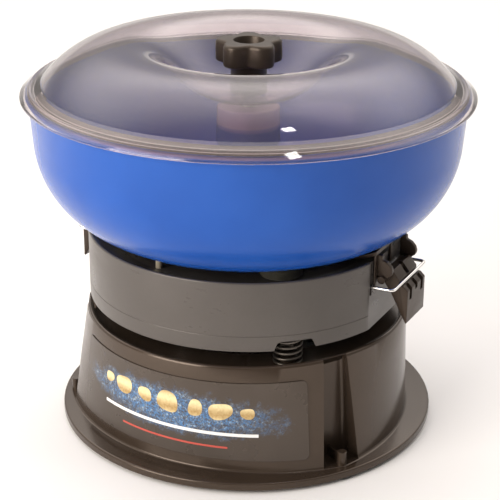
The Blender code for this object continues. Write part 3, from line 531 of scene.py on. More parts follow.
def moulded(name, dark, light, roughness, grain=0.00002, specular=0.5, tint=(1.0, 1.0, 1.0)):
    """Moulded plastic: slow colour drift, faint flow marks, wiped gloss and a fine grain."""
    made = Nodes(name)
    drift = made.cloud(14.0, 3.0)
    speck = made.scaled(made.noise(420.0, 2.0), 0.0, 0.2, 0.35, 0.75)
    made.set(Base_Color=made.blend(made.math("ADD", drift, speck), dark, light))
    made.set(Roughness=made.scaled(made.noise(30.0, 6.0, 0.65, WIPED), *roughness))
    fine = made.bump(made.noise(1400.0, 2.0), grain)
    made.set(Normal=made.bump(made.noise(22.0, 2.0), 0.0004, 0.15, fine))
    # A tint other than white paints a warm cast into the reflections.
    made.set(Specular_IOR_Level=specular, Specular_Tint=(*tint, 1.0))
    return made.owner


def bowl_plastic(name):
    """Glossy blue outside; inside, a brighter painted blue under a painted warm reflection veil that thins
    towards the rear wall and covers the column.
    """
    made = Nodes(name)
    facing = made.axes(made.source["Normal"])
    place = made.axes(made.coordinates)
    radius = made.radius()
    along = made.math("ADD", *[made.product(facing[axis], place[axis]) for axis in ("X", "Y")])
    inwards = made.scaled(made.math("DIVIDE", along, radius), 1.0, 0.0, -0.3, 0.0)
    upwards = made.scaled(facing["Z"], 0.0, 1.0, 0.0, 0.3)
    column = made.scaled(radius, 1.0, 0.0, 26 * MM, 28 * MM)
    foot = made.scaled(place["Z"], 0.0, 1.0, COLUMN_TOP - 20 * MM, COLUMN_TOP - 14 * MM)
    on_column = made.product(column, foot)
    inside = made.math("MAXIMUM", made.math("MAXIMUM", inwards, upwards), on_column)
    rear = made.scaled(place["Y"], 1.0, 0.3, -20 * MM, 110 * MM)
    middle = made.scaled(made.math("ABSOLUTE", place["X"]), 1.0, 0.1, 85 * MM, 135 * MM)
    # Painted reflection: a warm veil on the inner and upward faces, strongest at the front middle and on
    # the column.
    film = made.product(made.cloud(9.0, 3.0, low=0.4, high=0.8), rear, middle)
    film = made.math("MAXIMUM", film, made.product(on_column, 0.8))
    blue = made.blend(made.cloud(14.0, 3.0), (0.008, 0.068, 0.335), (0.013, 0.084, 0.385))
    # The inner blue is brighter than the outer blue: painted light for the dimly lit inside.
    painted_inside = made.blend(film, (0.022, 0.120, 0.600), (0.60, 0.43, 0.48))
    made.set(Base_Color=made.blend(inside, blue, painted_inside))
    made.set(Roughness=made.scaled(made.noise(30.0, 6.0, 0.65, WIPED), 0.17, 0.26))
    fine = made.bump(made.noise(1400.0, 2.0), 0.00001)
    made.set(Normal=made.bump(made.noise(22.0, 2.0), 0.0004, 0.15, fine), Specular_IOR_Level=0.27)
    return made.owner


def soft_rubber(name, dark, light):
    made = Nodes(name)
    dust = made.scaled(made.noise(90.0, 6.0, 0.7), 0.0, 1.0, 0.4, 0.8)
    made.set(Base_Color=made.blend(dust, dark, light))
    made.set(Roughness=made.cloud(60.0, low=0.6, high=0.85), Sheen_Weight=0.15)
    made.set(Normal=made.bump(made.noise(1900.0, 3.0), 0.00006, 0.7))
    return made.owner


def sealing_rubber(name):
    """Brown-grey rubber whose outer half carries fine pale and dark lines: painted highlights on fine
    ridges and painted shade in the grooves between them.
    """
    made = Nodes(name)
    radius = made.radius()
    turn = made.product(made.math("SUBTRACT", radius, GASKET_LINES), 2 * math.pi / LINE_PITCH)
    wave = made.math("SINE", turn)
    outer_half = made.scaled(radius, 0.0, 1.0, GASKET_LINES - 0.3 * MM, GASKET_LINES)
    # Painted highlights and painted shade: pale and dark lines across the outer half.
    painted_highlight_lines = made.product(made.scaled(wave, 0.0, 1.0, -0.1, 0.5), outer_half)
    dark = made.product(made.scaled(wave, 1.0, 0.0, -0.6, 0.0), outer_half)
    ground = made.blend(made.cloud(60.0), (0.24, 0.20, 0.175), (0.31, 0.265, 0.235))
    lined = made.blend(dark, ground, (0.07, 0.05, 0.035))
    made.set(Base_Color=made.blend(painted_highlight_lines, lined, (0.80, 0.72, 0.65)))
    made.set(Roughness=made.cloud(90.0, low=0.45, high=0.7))
    made.set(Normal=made.bump(made.noise(900.0, 3.0), 0.00004, 0.5))
    return made.owner


def metal(name, dark, light, roughness, scale=260.0):
    """Plated or drawn steel with fine marks."""
    made = Nodes(name)
    made.set(Base_Color=made.blend(made.cloud(60.0, 5.0), dark, light), Metallic=1.0)
    marks = made.noise(scale, 5.0, 0.7)
    made.set(Roughness=made.scaled(marks, *roughness))
    made.set(Normal=made.bump(marks, 0.00001, 0.6))
    return made.owner


def laminated(name):
    """Stacked sheet steel: fine dark lines every half millimetre."""
    made = Nodes(name)
    line = made.math("SINE", made.product(made.axes(made.coordinates)["Z"], 2 * math.pi / (0.5 * MM)))
    shade = made.blend(made.cloud(150.0, 5.0, high=0.6), (0.33, 0.33, 0.34), (0.22, 0.17, 0.13))
    made.set(Base_Color=made.blend(made.scaled(line, 0.0, 0.7, -1.0, 1.0), shade, (0.05, 0.05, 0.05)))
    made.set(Metallic=0.9, Roughness=made.cloud(300.0, low=0.35, high=0.6))
    made.set(Normal=made.bump(line, 0.00005, 0.6))
    return made.owner


def wound(name):
    """Enamelled copper turns under lacquer."""
    made = Nodes(name)
    bands = made.add("ShaderNodeTexWave", {
        "Vector": made.coordinates, "Scale": 330.0, "Distortion": 2.0, "Detail": 2.0, "Detail Scale": 1.5},
        wave_type="RINGS", rings_direction="Z")
    shade = made.blend(bands.outputs["Fac"], (0.16, 0.05, 0.018), (0.52, 0.21, 0.07))
    made.set(Base_Color=shade, Metallic=0.8, Roughness=made.cloud(200.0, low=0.25, high=0.45))
    made.set(Normal=made.bump(bands.outputs["Fac"], 0.0003, 0.8), Coat_Weight=0.4)
    return made.owner


def clear_plastic(name):
    """Clear moulded lid with a slight warm tint, faint wipe marks and a dome hazier than its rim."""
    made = Nodes(name)
    made.set(Base_Color=made.blend(made.cloud(9.0, 2.0), (0.73, 0.665, 0.685), (0.77, 0.71, 0.725)))
    haze = made.scaled(made.radius(), 0.012, 0.0, 159.0 * MM, 162.0 * MM)
    wipes = made.noise(55.0, 7.0, 0.7, (1.0, 6.0, 1.0))
    made.set(Roughness=made.math("ADD", haze, made.scaled(wipes, 0.008, 0.035, 0.35, 0.8)))
    made.set(Normal=made.bump(made.noise(16.0, 2.0), 0.0003, 0.12))
    made.set(Transmission_Weight=0.985, IOR=1.49, Specular_IOR_Level=0.3)
    return made.owner


def label_film(name):
    """Printed film: a dark brown-grey ground with a blue and white mist round the art."""
    made = Nodes(name)
    place = made.axes(made.coordinates)
    azimuth = made.math("ARCTAN2", place["Y"], place["X"])
    offset = made.math("SUBTRACT", azimuth, math.radians(ART_AZIMUTH))
    height = made.math("SUBTRACT", place["Z"], MIST_HEIGHT)
    rise = made.math("SUBTRACT", height, made.product(offset, MIST_SLOPE))
    spans = ((offset, MIST_HALF_ANGLE), (rise, MIST_HALF_HEIGHT))
    squares = [made.math("POWER", made.math("DIVIDE", value, half), 2.0) for value, half in spans]
    reach = made.math("SQRT", made.math("ADD", *squares))
    fringe = made.product(made.math("SUBTRACT", made.noise(95.0, 6.0, 0.7), 0.5), 1.3)
    mist = made.scaled(made.math("ADD", reach, fringe), 1.0, 0.0, 0.55, 1.15)
    spray = made.scaled(made.noise(620.0, 5.0, 0.75), 0.1, 1.0, 0.42, 0.6)
    ground = made.blend(made.cloud(18.0, 3.0), (0.046, 0.038, 0.032), (0.060, 0.050, 0.043))
    white = made.scaled(made.noise(260.0, 5.0, 0.7), 0.0, 1.0, 0.5, 0.68)
    foam = made.blend(white, (0.070, 0.21, 0.44), (0.50, 0.64, 0.76))
    made.set(Base_Color=made.blend(made.product(mist, spray), ground, foam))
    # The reflections carry a painted warm tint.
    made.set(Roughness=made.cloud(40.0, 5.0, low=0.24, high=0.36), Specular_Tint=(*WARM_REFLECTION_TINT, 1.0))
    made.set(Normal=made.bump(made.noise(900.0, 2.0), 0.00001, 0.5))
    return made.owner


def ink(name, low, high):
    """Printed ink with a soft shading up and down."""
    made = Nodes(name)
    wave = made.math("SINE", made.product(made.axes(made.coordinates)["Z"], 420.0))
    shading = made.math("ADD", made.scaled(wave, 0.0, 0.7, -1.0, 1.0), made.cloud(500.0, high=0.3))
    made.set(Base_Color=made.blend(shading, low, high))
    made.set(Roughness=made.cloud(200.0, low=0.30, high=0.45))
    made.set(Normal=made.bump(made.noise(1200.0, 2.0), 0.00001, 0.4))
    return made.owner


# The warm tints given below paint a warm cast into the reflections of these plastics.
HOUSING = moulded("housing_plastic", (0.030, 0.021, 0.015), (0.040, 0.028, 0.020), (0.15, 0.24),
                  specular=0.55, tint=WARM_REFLECTION_TINT)
SHROUD = moulded("shroud_plastic", (0.062, 0.055, 0.050), (0.078, 0.070, 0.064), (0.26, 0.38),
                 grain=0.00003, tint=(1.0, 0.95, 0.91))
LATCH = moulded("latch_plastic", (0.022, 0.015, 0.011), (0.033, 0.023, 0.017), (0.28, 0.42),
                grain=0.00003, specular=0.35, tint=WARM_REFLECTION_TINT)
BLUE = bowl_plastic("bowl_plastic")
KNOB = moulded("knob_plastic", (0.020, 0.014, 0.010), (0.032, 0.024, 0.018), (0.30, 0.44),
               grain=0.00005, tint=WARM_REFLECTION_TINT)
CLEAR = clear_plastic("lid_plastic")
FOOT_RUBBER = soft_rubber("foot_rubber", (0.018, 0.018, 0.018), (0.050, 0.046, 0.042))
PAD_RUBBER = soft_rubber("pad_rubber", (0.045, 0.042, 0.028), (0.090, 0.084, 0.060))
GASKET = sealing_rubber("gasket_rubber")
SPRING_STEEL = metal("spring_steel", (0.10, 0.088, 0.075), (0.19, 0.170, 0.150), (0.38, 0.55))
NYLON = moulded("pin_nylon", (0.48, 0.42, 0.30), (0.62, 0.56, 0.44), (0.35, 0.5), grain=0.00003)
ZINC = metal("zinc_plate", (0.50, 0.50, 0.49), (0.72, 0.72, 0.70), (0.22, 0.42))
CHROME = metal("bright_wire", (0.78, 0.77, 0.75), (0.90, 0.89, 0.87), (0.07, 0.17), 400.0)
STACK = laminated("stacked_steel")
COPPER = wound("copper_winding")
FILM = label_film("label_film")
GOLD_INK = ink("gold_ink", (0.34, 0.20, 0.055), (0.86, 0.72, 0.40))
WHITE_INK = ink("white_ink", (0.78, 0.78, 0.78), (0.88, 0.88, 0.88))
RED_INK = ink("red_ink", (0.42, 0.05, 0.035), (0.58, 0.10, 0.07))
CAD_FINISHES = {
    "black_plastic": HOUSING, "drum_plastic": SHROUD, "blue_plastic": BLUE, "clear_plastic": CLEAR,
    "knob_plastic": KNOB, "black_rubber": FOOT_RUBBER, "pad_rubber": PAD_RUBBER,
    "gasket_rubber": GASKET, "beige_nylon": NYLON, "zinc_steel": ZINC, "bright_wire": CHROME,
    "lamination_steel": STACK, "copper_winding": COPPER, "label_film": FILM,
}


def finish_cad_nodes():
    """Every carried-over solid takes the detailed finish of its slot."""
    for part in frame["record"]["subparts"]:
        for slot in NODES[part["node"]].material_slots:
            slot.material = CAD_FINISHES[part["material_slot"]]


# ---- base
def wall_radius(degrees, z):
    """The housing wall runs straight from a flattened three-lobed foot to a round lip."""
    offset = math.radians((degrees - PANEL_AZIMUTHS[0] + 60.0) % 120.0 - 60.0)
    foot = math.sqrt(PANEL_ARC ** 2 - (PANEL_SETBACK * math.sin(offset)) ** 2)
    foot -= PANEL_SETBACK * math.cos(offset)
    share = (z - FLANGE_TOP) / (LIP_TOP - FLANGE_TOP)
    return foot + (LIP_RADIUS - foot) * share


def wall_ring(z, grow=0.0):
    azimuths = [PANEL_AZIMUTHS[0] + 360.0 * k / FINE for k in range(FINE)]
    return [polar(wall_radius(degrees, max(z, FLANGE_TOP)) + grow, degrees, z) for degrees in azimuths]


def pocket_shapes(margin, floor):
    shapes = []
    for degrees in POCKET_AZIMUTHS:
        rings = []
        for z, half in zip((floor, POCKET_CEILING + margin), POCKET_HALVES):
            near = (POCKET_BACK - margin, -half - margin)
            far = (FLANGE_RADIUS + 10 * MM, half + margin)
            rings.append([(u, v, z) for u, v in softened(rectangle(near, far), 3.5 * MM, 5)])
        shapes.append(turned(skin(rings), degrees))
    return joined(shapes)


def build_base():
    edge = 1.6 * MM
    fillet = 2 * MM
    flange = beside((FLANGE_RADIUS, FLANGE_BOTTOM), (-0.6, 0.0), (0.0, 0.6))
    flange += arc((FLANGE_RADIUS - edge, FLANGE_TOP - edge), edge, 0, 90, 5)
    rings = circles(flange, FINE, PANEL_AZIMUTHS[0])
    for k in range(6):
        angle = math.radians(90.0 * k / 5)
        rings.append(wall_ring(FLANGE_TOP + fillet * (1 - math.cos(angle)), fillet * (1 - math.sin(angle))))
    for share in (0.25, 0.5, 0.75, 1.0):
        rings.append(wall_ring(FLANGE_TOP + fillet + (LIP_TOP - LIP_BEAD - fillet - FLANGE_TOP) * share))
    lip = arc((LIP_RADIUS - 2.25 * MM, LIP_TOP - LIP_BEAD), LIP_BEAD, 10, 170, 10)
    lip += beside((LIP_RADIUS - 4.5 * MM, DECK_TOP), (-0.6, 1.0), (-1.6, 0.0))
    rings += circles(lip, FINE, PANEL_AZIMUTHS[0])
    housing = raw_object("housing_shell", skin(rings), HOUSING)
    ceiling = DECK_TOP - BASE_WALL
    hollow = [wall_ring(FLANGE_BOTTOM - 2 * MM, -BASE_WALL), wall_ring(FLANGE_TOP, -BASE_WALL),
              wall_ring(ceiling, -BASE_WALL - 1.4 * MM)]
    hollow += circles([(DECK_OPENING, ceiling), (DECK_OPENING, DECK_TOP + 2 * MM)], FINE, PANEL_AZIMUTHS[0])
    core = raw_object("hollow_core", skin(hollow), HOUSING)
    cut(core, pocket_shapes(BASE_WALL, -1 * MM))
    combine(housing, core)
    cut(housing, pocket_shapes(0.0, FLANGE_TOP + 0.4 * MM))
    posts = []
    ribs = []
    holes = []
    for degrees in POCKET_AZIMUTHS:
        place = polar(FOOT_CIRCLE, degrees)
        posts.append(moved(rod(POST_RADIUS, FLANGE_TOP - 2 * MM, POST_TOP, 32, 0.5 * MM), place))
        rib = rectangle((POCKET_BACK - 1 * MM, FLANGE_TOP - 1 * MM), (FOOT_CIRCLE - 3 * MM, 17 * MM))
        ribs.append(turned(slab(softened(rib, 0.4 * MM), -0.9 * MM, 0.9 * MM), degrees))
        hole = beside((0.0, 0.0), (0, 0), (9.7, 0), (9.7, 4.5), (2.1, 4.5), (2.1, 18.5), (0, 18.5))
        holes.append(moved(lathe(hole, 32), place))
    for degrees in SPRING_AZIMUTHS:
        seat = rod(7.0 * MM, DECK_TOP - 1 * MM, DECK_TOP + 6 * MM, 32, 0.8 * MM)
        posts.append(moved(seat, polar(SPRING_CIRCLE, degrees)))
    add(housing, joined(posts))
    add(housing, joined(ribs))
    cut(housing, joined(holes))
    entry = moved(turned(rod(GLAND_HOLE, 100 * MM, 160 * MM, 32), 90, "Y"), (0, 0, GLAND_HEIGHT))
    cut(housing, turned(entry, GLAND_AZIMUTH))
    placed(housing, "base", ["base_housing"])


def on_panel(degrees, z, lift):
    return polar(wall_radius(degrees, z) + lift, degrees, z)


def panel_patch(outline, rings=4):
    """A closed outline of (azimuth, z) laid on the wall as concentric rings with a filled middle."""
    corners = [Vector(point) for point in outline]
    count = len(corners)
    middle = sum(corners, Vector((0.0, 0.0))) / count
    layers = [[on_panel(*(middle + (point - middle) * k / rings), ART_LIFT) for point in corners]
              for k in range(rings, 0, -1)]
    points, faces = skin(layers, capped=False)
    start = len(points) - count
    faces += [(start + k, start + (k + 1) % count, len(points)) for k in range(count)]
    return points + [tuple(on_panel(*middle, ART_LIFT))], faces


def panel_bar(start, end, top, height, steps=40):
    """A bar along the label that falls slightly from its start to its end."""
    points = []
    for k in range(steps + 1):
        degrees = start + (end - start) * k / steps
        high = top - BAR_FALL * k / steps
        points += [tuple(on_panel(degrees, z, ART_LIFT)) for z in (high, high - height)]
    return points, [(2 * k, 2 * k + 1, 2 * k + 3, 2 * k + 2) for k in range(steps)]


def pebble(azimuth, z, half_width, half_height, lean):
    """An uneven rounded outline, in degrees and metres."""
    outline = []
    points = 40
    for k in range(points):
        t = 2 * math.pi * k / points
        bulge = 1 + 0.07 * math.sin(2 * t + lean) + 0.05 * math.cos(3 * t - lean)
        x = half_width * bulge * math.copysign(abs(math.cos(t)) ** 0.85, math.cos(t))
        y = half_height * bulge * math.copysign(abs(math.sin(t)) ** 0.85, math.sin(t))
        tilt = 0.12 * math.sin(lean)
        outline.append((azimuth + (x - y * tilt) / MM_PER_DEGREE, z + (y + x * tilt) * MM))
    return outline


def build_label():
    low, high = heights("label_plate")
    steps = 96
    rings = []
    for k in range(steps + 1):
        offset = LABEL_HALF_ANGLE * math.sin(math.pi / 2 * (2 * k / steps - 1))
        run = max(0.0, (abs(offset) - LABEL_HALF_ANGLE) * MM_PER_DEGREE * MM + LABEL_CORNER)
        drop = LABEL_CORNER - math.sqrt(max(LABEL_CORNER ** 2 - run ** 2, 0.0))
        ring = []
        for share, lift in ((0.0, 0.5), (1.0, 0.5), (1.0, 1.0), (0.66, 1.0), (0.33, 1.0), (0.0, 1.0)):
            z = low + drop + (high - low - 2 * drop) * share
            ring.append(on_panel(LABEL_AZIMUTH + offset, z, lift * LABEL_THICKNESS))
        rings.append(ring)
    label = raw_object("label", skin(rings), FILM)
    for finish in (GOLD_INK, WHITE_INK, RED_INK):
        label.data.materials.append(finish)
    art = []
    row = ((-143, 5.2, 4.4, 0.4), (-135.5, 8.6, 7.6, 1.7), (-126, 6.6, 5.8, 2.9), (-117, 10.2, 8.0, 4.4),
           (-107, 6.2, 6.6, 5.3), (-98.5, 9.4, 7.0, 0.9), (-89.5, 5.4, 4.6, 2.2))
    for azimuth, half_width, half_height, lean in row:
        z = PEBBLE_HEIGHT - (azimuth - ART_AZIMUTH) * PEBBLE_SLOPE
        art.append((panel_patch(pebble(azimuth, z, half_width, half_height, lean)), 1))
    art.append((panel_bar(-145.0, -86.0, 41.8 * MM, 2.6 * MM), 2))
    art.append((panel_bar(-136.0, -96.0, 30.3 * MM, 1.6 * MM), 3))
    model = bmesh.new()
    model.from_mesh(label.data)
    for (points, faces), index in art:
        corners = [model.verts.new(point) for point in points]
        for face in faces:
            made = model.faces.new([corners[k] for k in face])
            made.material_index = index
            made.normal_update()
            if made.normal.dot(Vector((*made.calc_center_median().xy, 0.0))) < 0:
                made.normal_flip()
    model.to_mesh(label.data)
    model.free()
    placed(label, "base", ["label_plate"])


def build_feet():
    outline = [(4.6 * MM, 0.0)] + beside((FOOT_RADIUS, 0.0), (-1.0, 0.0), (0.0, 1.0), (0.0, 4.2))
    outline += beside((0.0, 0.0), (2.1, 4.2), (2.1, 2.4), (4.6, 2.4))
    shape = lathe(softened(outline, 0.35 * MM), 48)
    for number, degrees in enumerate(POCKET_AZIMUTHS, 1):
        foot = raw_object(f"rubber_foot_{number}", moved(shape, polar(FOOT_CIRCLE, degrees)), FOOT_RUBBER)
        placed(foot, "base", [f"foot_{number}"])


def build_gland():
    """A ribbed strain-relief bushing in the rear wall."""
    wall = (0.0, wall_radius(GLAND_AZIMUTH, GLAND_HEIGHT))
    outline = beside(wall, (3.8, -9.0), (5.9, -9.0), (5.9, 0.9), (9.5, 0.9), (9.5, 3.0), (7.4, 4.2))
    for k in range(4):
        rib = beside(wall, (7.1 - 0.4 * k, 4.6 + 2.3 * k))[0]
        outline += beside(rib, (0.0, 0.0), (0.0, 1.4), (-1.0, 1.6), (-1.0, 2.2))
    outline += beside(wall, (5.4, 14.0), (3.8, 14.0))
    shape = moved(turned(lathe(softened(outline, 0.3 * MM, 2), 48), 90, "Y"), (0, 0, GLAND_HEIGHT))
    gland = raw_object("lead_bushing", turned(shape, GLAND_AZIMUTH), FOOT_RUBBER)
    placed(gland, "base", ["cord_gland"])


def build_springs():
    low = DECK_TOP + SPRING_GAP + SPRING_WIRE
    high = SPRING_SEAT_TOP - SPRING_GAP - SPRING_WIRE
    steps = int(SPRING_TURNS * 32)
    flat = 0.75
    for number, degrees in enumerate(SPRING_AZIMUTHS, 1):
        centre = polar(SPRING_CIRCLE, degrees)
        path = []
        for k in range(steps + 1):
            turn = SPRING_TURNS * k / steps
            rise = (turn - flat) / (SPRING_TURNS - 2 * flat)
            z = low + (high - low) * min(max(rise, 0.0), 1.0)
            path.append(centre + polar(SPRING_RADIUS, 360 * turn, z))
        coil = raw_object(f"coil_{number}", tube(path, SPRING_WIRE, 14), SPRING_STEEL)
        shaded(coil)
        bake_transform(coil)
        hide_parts(f"spring_{number}")


# ---- drum
def facet_shapes(distance):
    low = (distance, -62 * MM, 60 * MM)
    high = (distance + 20 * MM, 62 * MM, 200 * MM)
    return joined([turned(block(low, high), azimuth) for azimuth in LATCH_AZIMUTHS.values()])


def build_drum():
    seam = DRUM_BOTTOM + 12.5 * MM
    outline = [(0.0, DRUM_BOTTOM), (DRUM_RADIUS - 0.8 * MM, DRUM_BOTTOM)]
    outline += arc((DRUM_RADIUS - 0.8 * MM, DRUM_BOTTOM + 0.8 * MM), 0.8 * MM, -60, 0, 3)
    outline += beside((DRUM_RADIUS, seam), (0.0, -0.35), (-0.25, 0.0), (0.0, 0.35))
    outline += arc((DRUM_RADIUS - 1.3 * MM, DRUM_TOP - 1.3 * MM), 1.3 * MM, 0, 120, 6)
    outline += beside((WELL_RADIUS, WELL_TOP), (1.5, 0.5), (-1.5, 0.0))
    outline += beside((SPIGOT_RADIUS, WELL_TOP), (2.0, 0.0), (0.0, 1.6))
    outline += beside((SPIGOT_RADIUS, SPIGOT_TOP), (-0.8, -1.0), (-1.8, 0.0)) + [(0.0, SPIGOT_TOP)]
    shroud = raw_object("shroud", lathe(outline), SHROUD)
    cut(shroud, facet_shapes(FACET_DISTANCE))
    slots = []
    for azimuth in LATCH_AZIMUTHS.values():
        for side in (-1, 1):
            middle = side * BAIL_HALF
            low = (BAIL_TIP - 2.1 * MM, middle - SLOT_HALF, 135 * MM)
            high = (DRUM_RADIUS + 5 * MM, middle + SLOT_HALF, DRUM_TOP + 5 * MM)
            slots.append(turned(block(low, high), azimuth))
    cut(shroud, joined(slots))
    ceiling = WELL_TOP - DRUM_WALL
    inside = [(0.0, DRUM_BOTTOM - 5 * MM), (DRUM_RADIUS - DRUM_WALL, DRUM_BOTTOM - 5 * MM),
              (DRUM_RADIUS - DRUM_WALL, DRUM_TOP - 4.2 * MM), (WELL_RADIUS - 1 * MM, ceiling),
              (SPIGOT_RADIUS - 4 * MM, ceiling), (SPIGOT_RADIUS - 4 * MM, SPIGOT_TOP - DRUM_WALL),
              (0.0, SPIGOT_TOP - DRUM_WALL)]
    core = raw_object("drum_core", lathe(inside), SHROUD)
    cut(core, facet_shapes(FACET_DISTANCE - DRUM_WALL))
    seats = []
    notches = []
    for degrees in SPRING_AZIMUTHS:
        seat = beside((0.0, SPRING_SEAT_TOP), (0.0, -6.0), (6.4, -6.0), (7.0, -5.4), (7.0, 0.0))
        seat += [(SPRING_RADIUS + 3.3 * MM, z) for z in (SPRING_SEAT_TOP, DRUM_TOP)] + [(0.0, DRUM_TOP)]
        seats.append(moved(lathe(seat, 48), polar(SPRING_CIRCLE, degrees)))
        corners = beside((0.0, DRUM_BOTTOM), (-17.5, -2.0), (17.5, -2.0), (13.5, 7.5), (-13.5, 7.5))
        ring = softened(corners, 2.4 * MM, 5)
        notches.append(turned(skin([[(u, v, w) for v, w in ring] for u in (118 * MM, 140 * MM)]), degrees))
    cut(core, joined(seats))
    combine(shroud, core)
    cut(shroud, joined(notches))
    holes = [moved(rod(SCREW_HOLE, WELL_TOP - 10 * MM, WELL_TOP - 1.2 * MM, 24), polar(56 * MM, degrees))
             for degrees in (30.0, 150.0, 270.0)]
    cut(shroud, joined(holes))
    placed(shroud, "drum", ["drum_shroud"])


def stand_on_drum(name, node, profile, segments, finish):
    low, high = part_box(node)
    middle = (low + high) / 2
    piece = raw_object(name, moved(lathe(profile, segments), (middle.x, middle.y, 0)), finish)
    placed(piece, "drum", [node])


def build_pads_and_pins():
    for number in range(1, 5):
        node = f"bowl_pad_{number}"
        low, high = heights(node)
        outline = [(0.0, low)] + beside((PAD_RADIUS, low), (-1.0, 0.0), (0.0, 1.0))
        outline += [(PAD_RADIUS, high - 4 * MM)]
        outline += arc((PAD_RADIUS - 2.8 * MM, high - 3.0 * MM), 2.8 * MM, 10, 80, 6)
        for radius in (11.0, 7.5, 4.0):
            outline += beside((radius * MM, high), (0.5, 0.0), (0.0, -0.5), (-0.5, 0.0))
        outline += [(0.0, high)]
        stand_on_drum(f"rubber_pad_{number}", node, outline, 72, PAD_RUBBER)
    for side in ("front", "rear"):
        node = f"locating_pin_{side}"
        low, high = heights(node)
        outline = [(0.0, low), (2.6 * MM, low), (2.6 * MM, high - 1.8 * MM)]
        outline += arc((1.0 * MM, high - 1.6 * MM), 1.6 * MM, 10, 90, 5) + [(0.0, high)]
        stand_on_drum(f"centring_pin_{side}", node, outline, 40, NYLON)


# ---- bowl
def screw_holes(low, high):
    """Holes for the two screws of a latch bracket, not yet turned to its azimuth."""
    hole = rod(SCREW_HOLE, low, high, 24)
    return joined([moved(hole, (BRACKET_SCREW_REACH, side * BRACKET_SCREW_HALF, 0)) for side in (-1, 1)])


def build_bowl():
    centre = (BOWL_FLAT, BOWL_BOTTOM + BOWL_ARC)
    bead = arc((RIM_RADIUS - 1.2 * MM, RIM_TOP - 1.2 * MM), 1.2 * MM, 90, 0, 4)
    bead += beside((RIM_RADIUS, RIM_TOP), (0.0, -2.0), (-0.4, -2.5))
    bead += beside((BOWL_SIDE_TOP[0], RIM_TOP), (0.2, -2.8))
    outside = bead + [BOWL_SIDE_TOP] + arc(centre, BOWL_ARC, -BOWL_DRAFT, -90, 36)
    ceiling = COLUMN_TOP - 4 * MM
    under = beside((COLUMN_RADIUS, BOWL_BOTTOM), (1.6, 0.0), (0.4, 0.5), (0.0, 1.6))
    under += beside((COLUMN_RADIUS, ceiling), (-3.4, -1.5), (-4.9, 0.0))
    under += [(STUD_RADIUS + 0.5 * MM, ceiling)]
    floor = BOWL_BOTTOM + BOWL_WALL
    column = [(STUD_RADIUS + 0.5 * MM, COLUMN_TOP)]
    column += arc((COLUMN_RADIUS - 2 * MM, COLUMN_TOP - 2 * MM), 2 * MM, 90, 0, 6)
    foot = (COLUMN_RADIUS + 2 * MM + COLUMN_FILLET, floor + COLUMN_FILLET)
    column += arc(foot, COLUMN_FILLET, 180, 270, 10)
    corner = arc(centre, BOWL_ARC - BOWL_WALL, -90, -BOWL_DRAFT, 32)
    top = beside((BOWL_SIDE_TOP[0] - BOWL_WALL, RIM_TOP), (0.0, -1.0), (1.0, 0.0))
    vessel = raw_object("bowl_shell", lathe(outside + under + column + corner + top), BLUE)
    holes = screw_holes(BOWL_BOTTOM - 5 * MM, BOWL_BOTTOM + 2.4 * MM)
    cut(vessel, joined([turned(holes, azimuth) for azimuth in LATCH_AZIMUTHS.values()]))
    placed(vessel, "bowl", ["bowl"])


def bowl_underside(u, clearance):
    run = max(u - BOWL_FLAT, 0.0)
    return BOWL_BOTTOM + BOWL_ARC - math.sqrt((BOWL_ARC + clearance) ** 2 - run ** 2)


def build_bracket(side, azimuth):
    inner = 71 * MM
    outer = PIVOT[0] - 3 * MM
    reach = [inner + (outer - inner) * k / 16 for k in range(17)]
    top = [(u, bowl_underside(u, 0.3 * MM)) for u in reach]
    under = [(u, bowl_underside(u, 3.1 * MM)) for u in reversed(reach)]
    tongue = slab(top + under, -STRIP_HALF, STRIP_HALF, 0.4 * MM, 2)
    bracket = raw_object(f"catch_{side}", tongue, LATCH)
    pivot_u, pivot_w = PIVOT
    strip_low = pivot_w - 5.5 * MM
    strip_high = pivot_w + 22.2 * MM
    strip_back = FACET_DISTANCE + 0.6 * MM
    hook = beside((strip_back, pivot_w), (0.4, 20.5))
    hook += beside(PIVOT, (0.0, 19.1), (0.0, 16.0), (4.0, 14.5), (7.4, 11.0), (8.5, 7.3))
    hook += beside(PIVOT, (7.6, 4.1), (5.2, 2.3))
    hook += arc(PIVOT, 3.9 * MM, 25, 150, 12) + beside((strip_back, pivot_w), (0.4, 2.6))
    ear = slab(softened(hook, 1.4 * MM, 4, 12.0), EAR_INNER, EAR_OUTER, 0.5 * MM, 3)
    bar = softened(rectangle((strip_back, strip_low), (pivot_u - 3.7 * MM, strip_high)), 0.4 * MM, 2)
    strip = slab(bar, EAR_INNER + 0.2 * MM, STRIP_HALF - 0.2 * MM, 0.4 * MM, 2)
    for shape in (flipped(strip), flipped(ear), strip, ear):
        add(bracket, shape)
    rib_end = (outer - 0.3 * MM, 1.2 * MM, strip_high)
    add(bracket, block((strip_back, -1.2 * MM, pivot_w + 5.5 * MM), rib_end))
    cut(bracket, screw_holes(BOWL_BOTTOM - 6 * MM, BOWL_BOTTOM + 1 * MM))
    turn_object(bracket, azimuth)
    placed(bracket, "bowl", [f"latch_bracket_{side}"])


def turn_object(target, degrees):
    target.data.transform(Matrix.Rotation(math.radians(degrees), 4, "Z"))


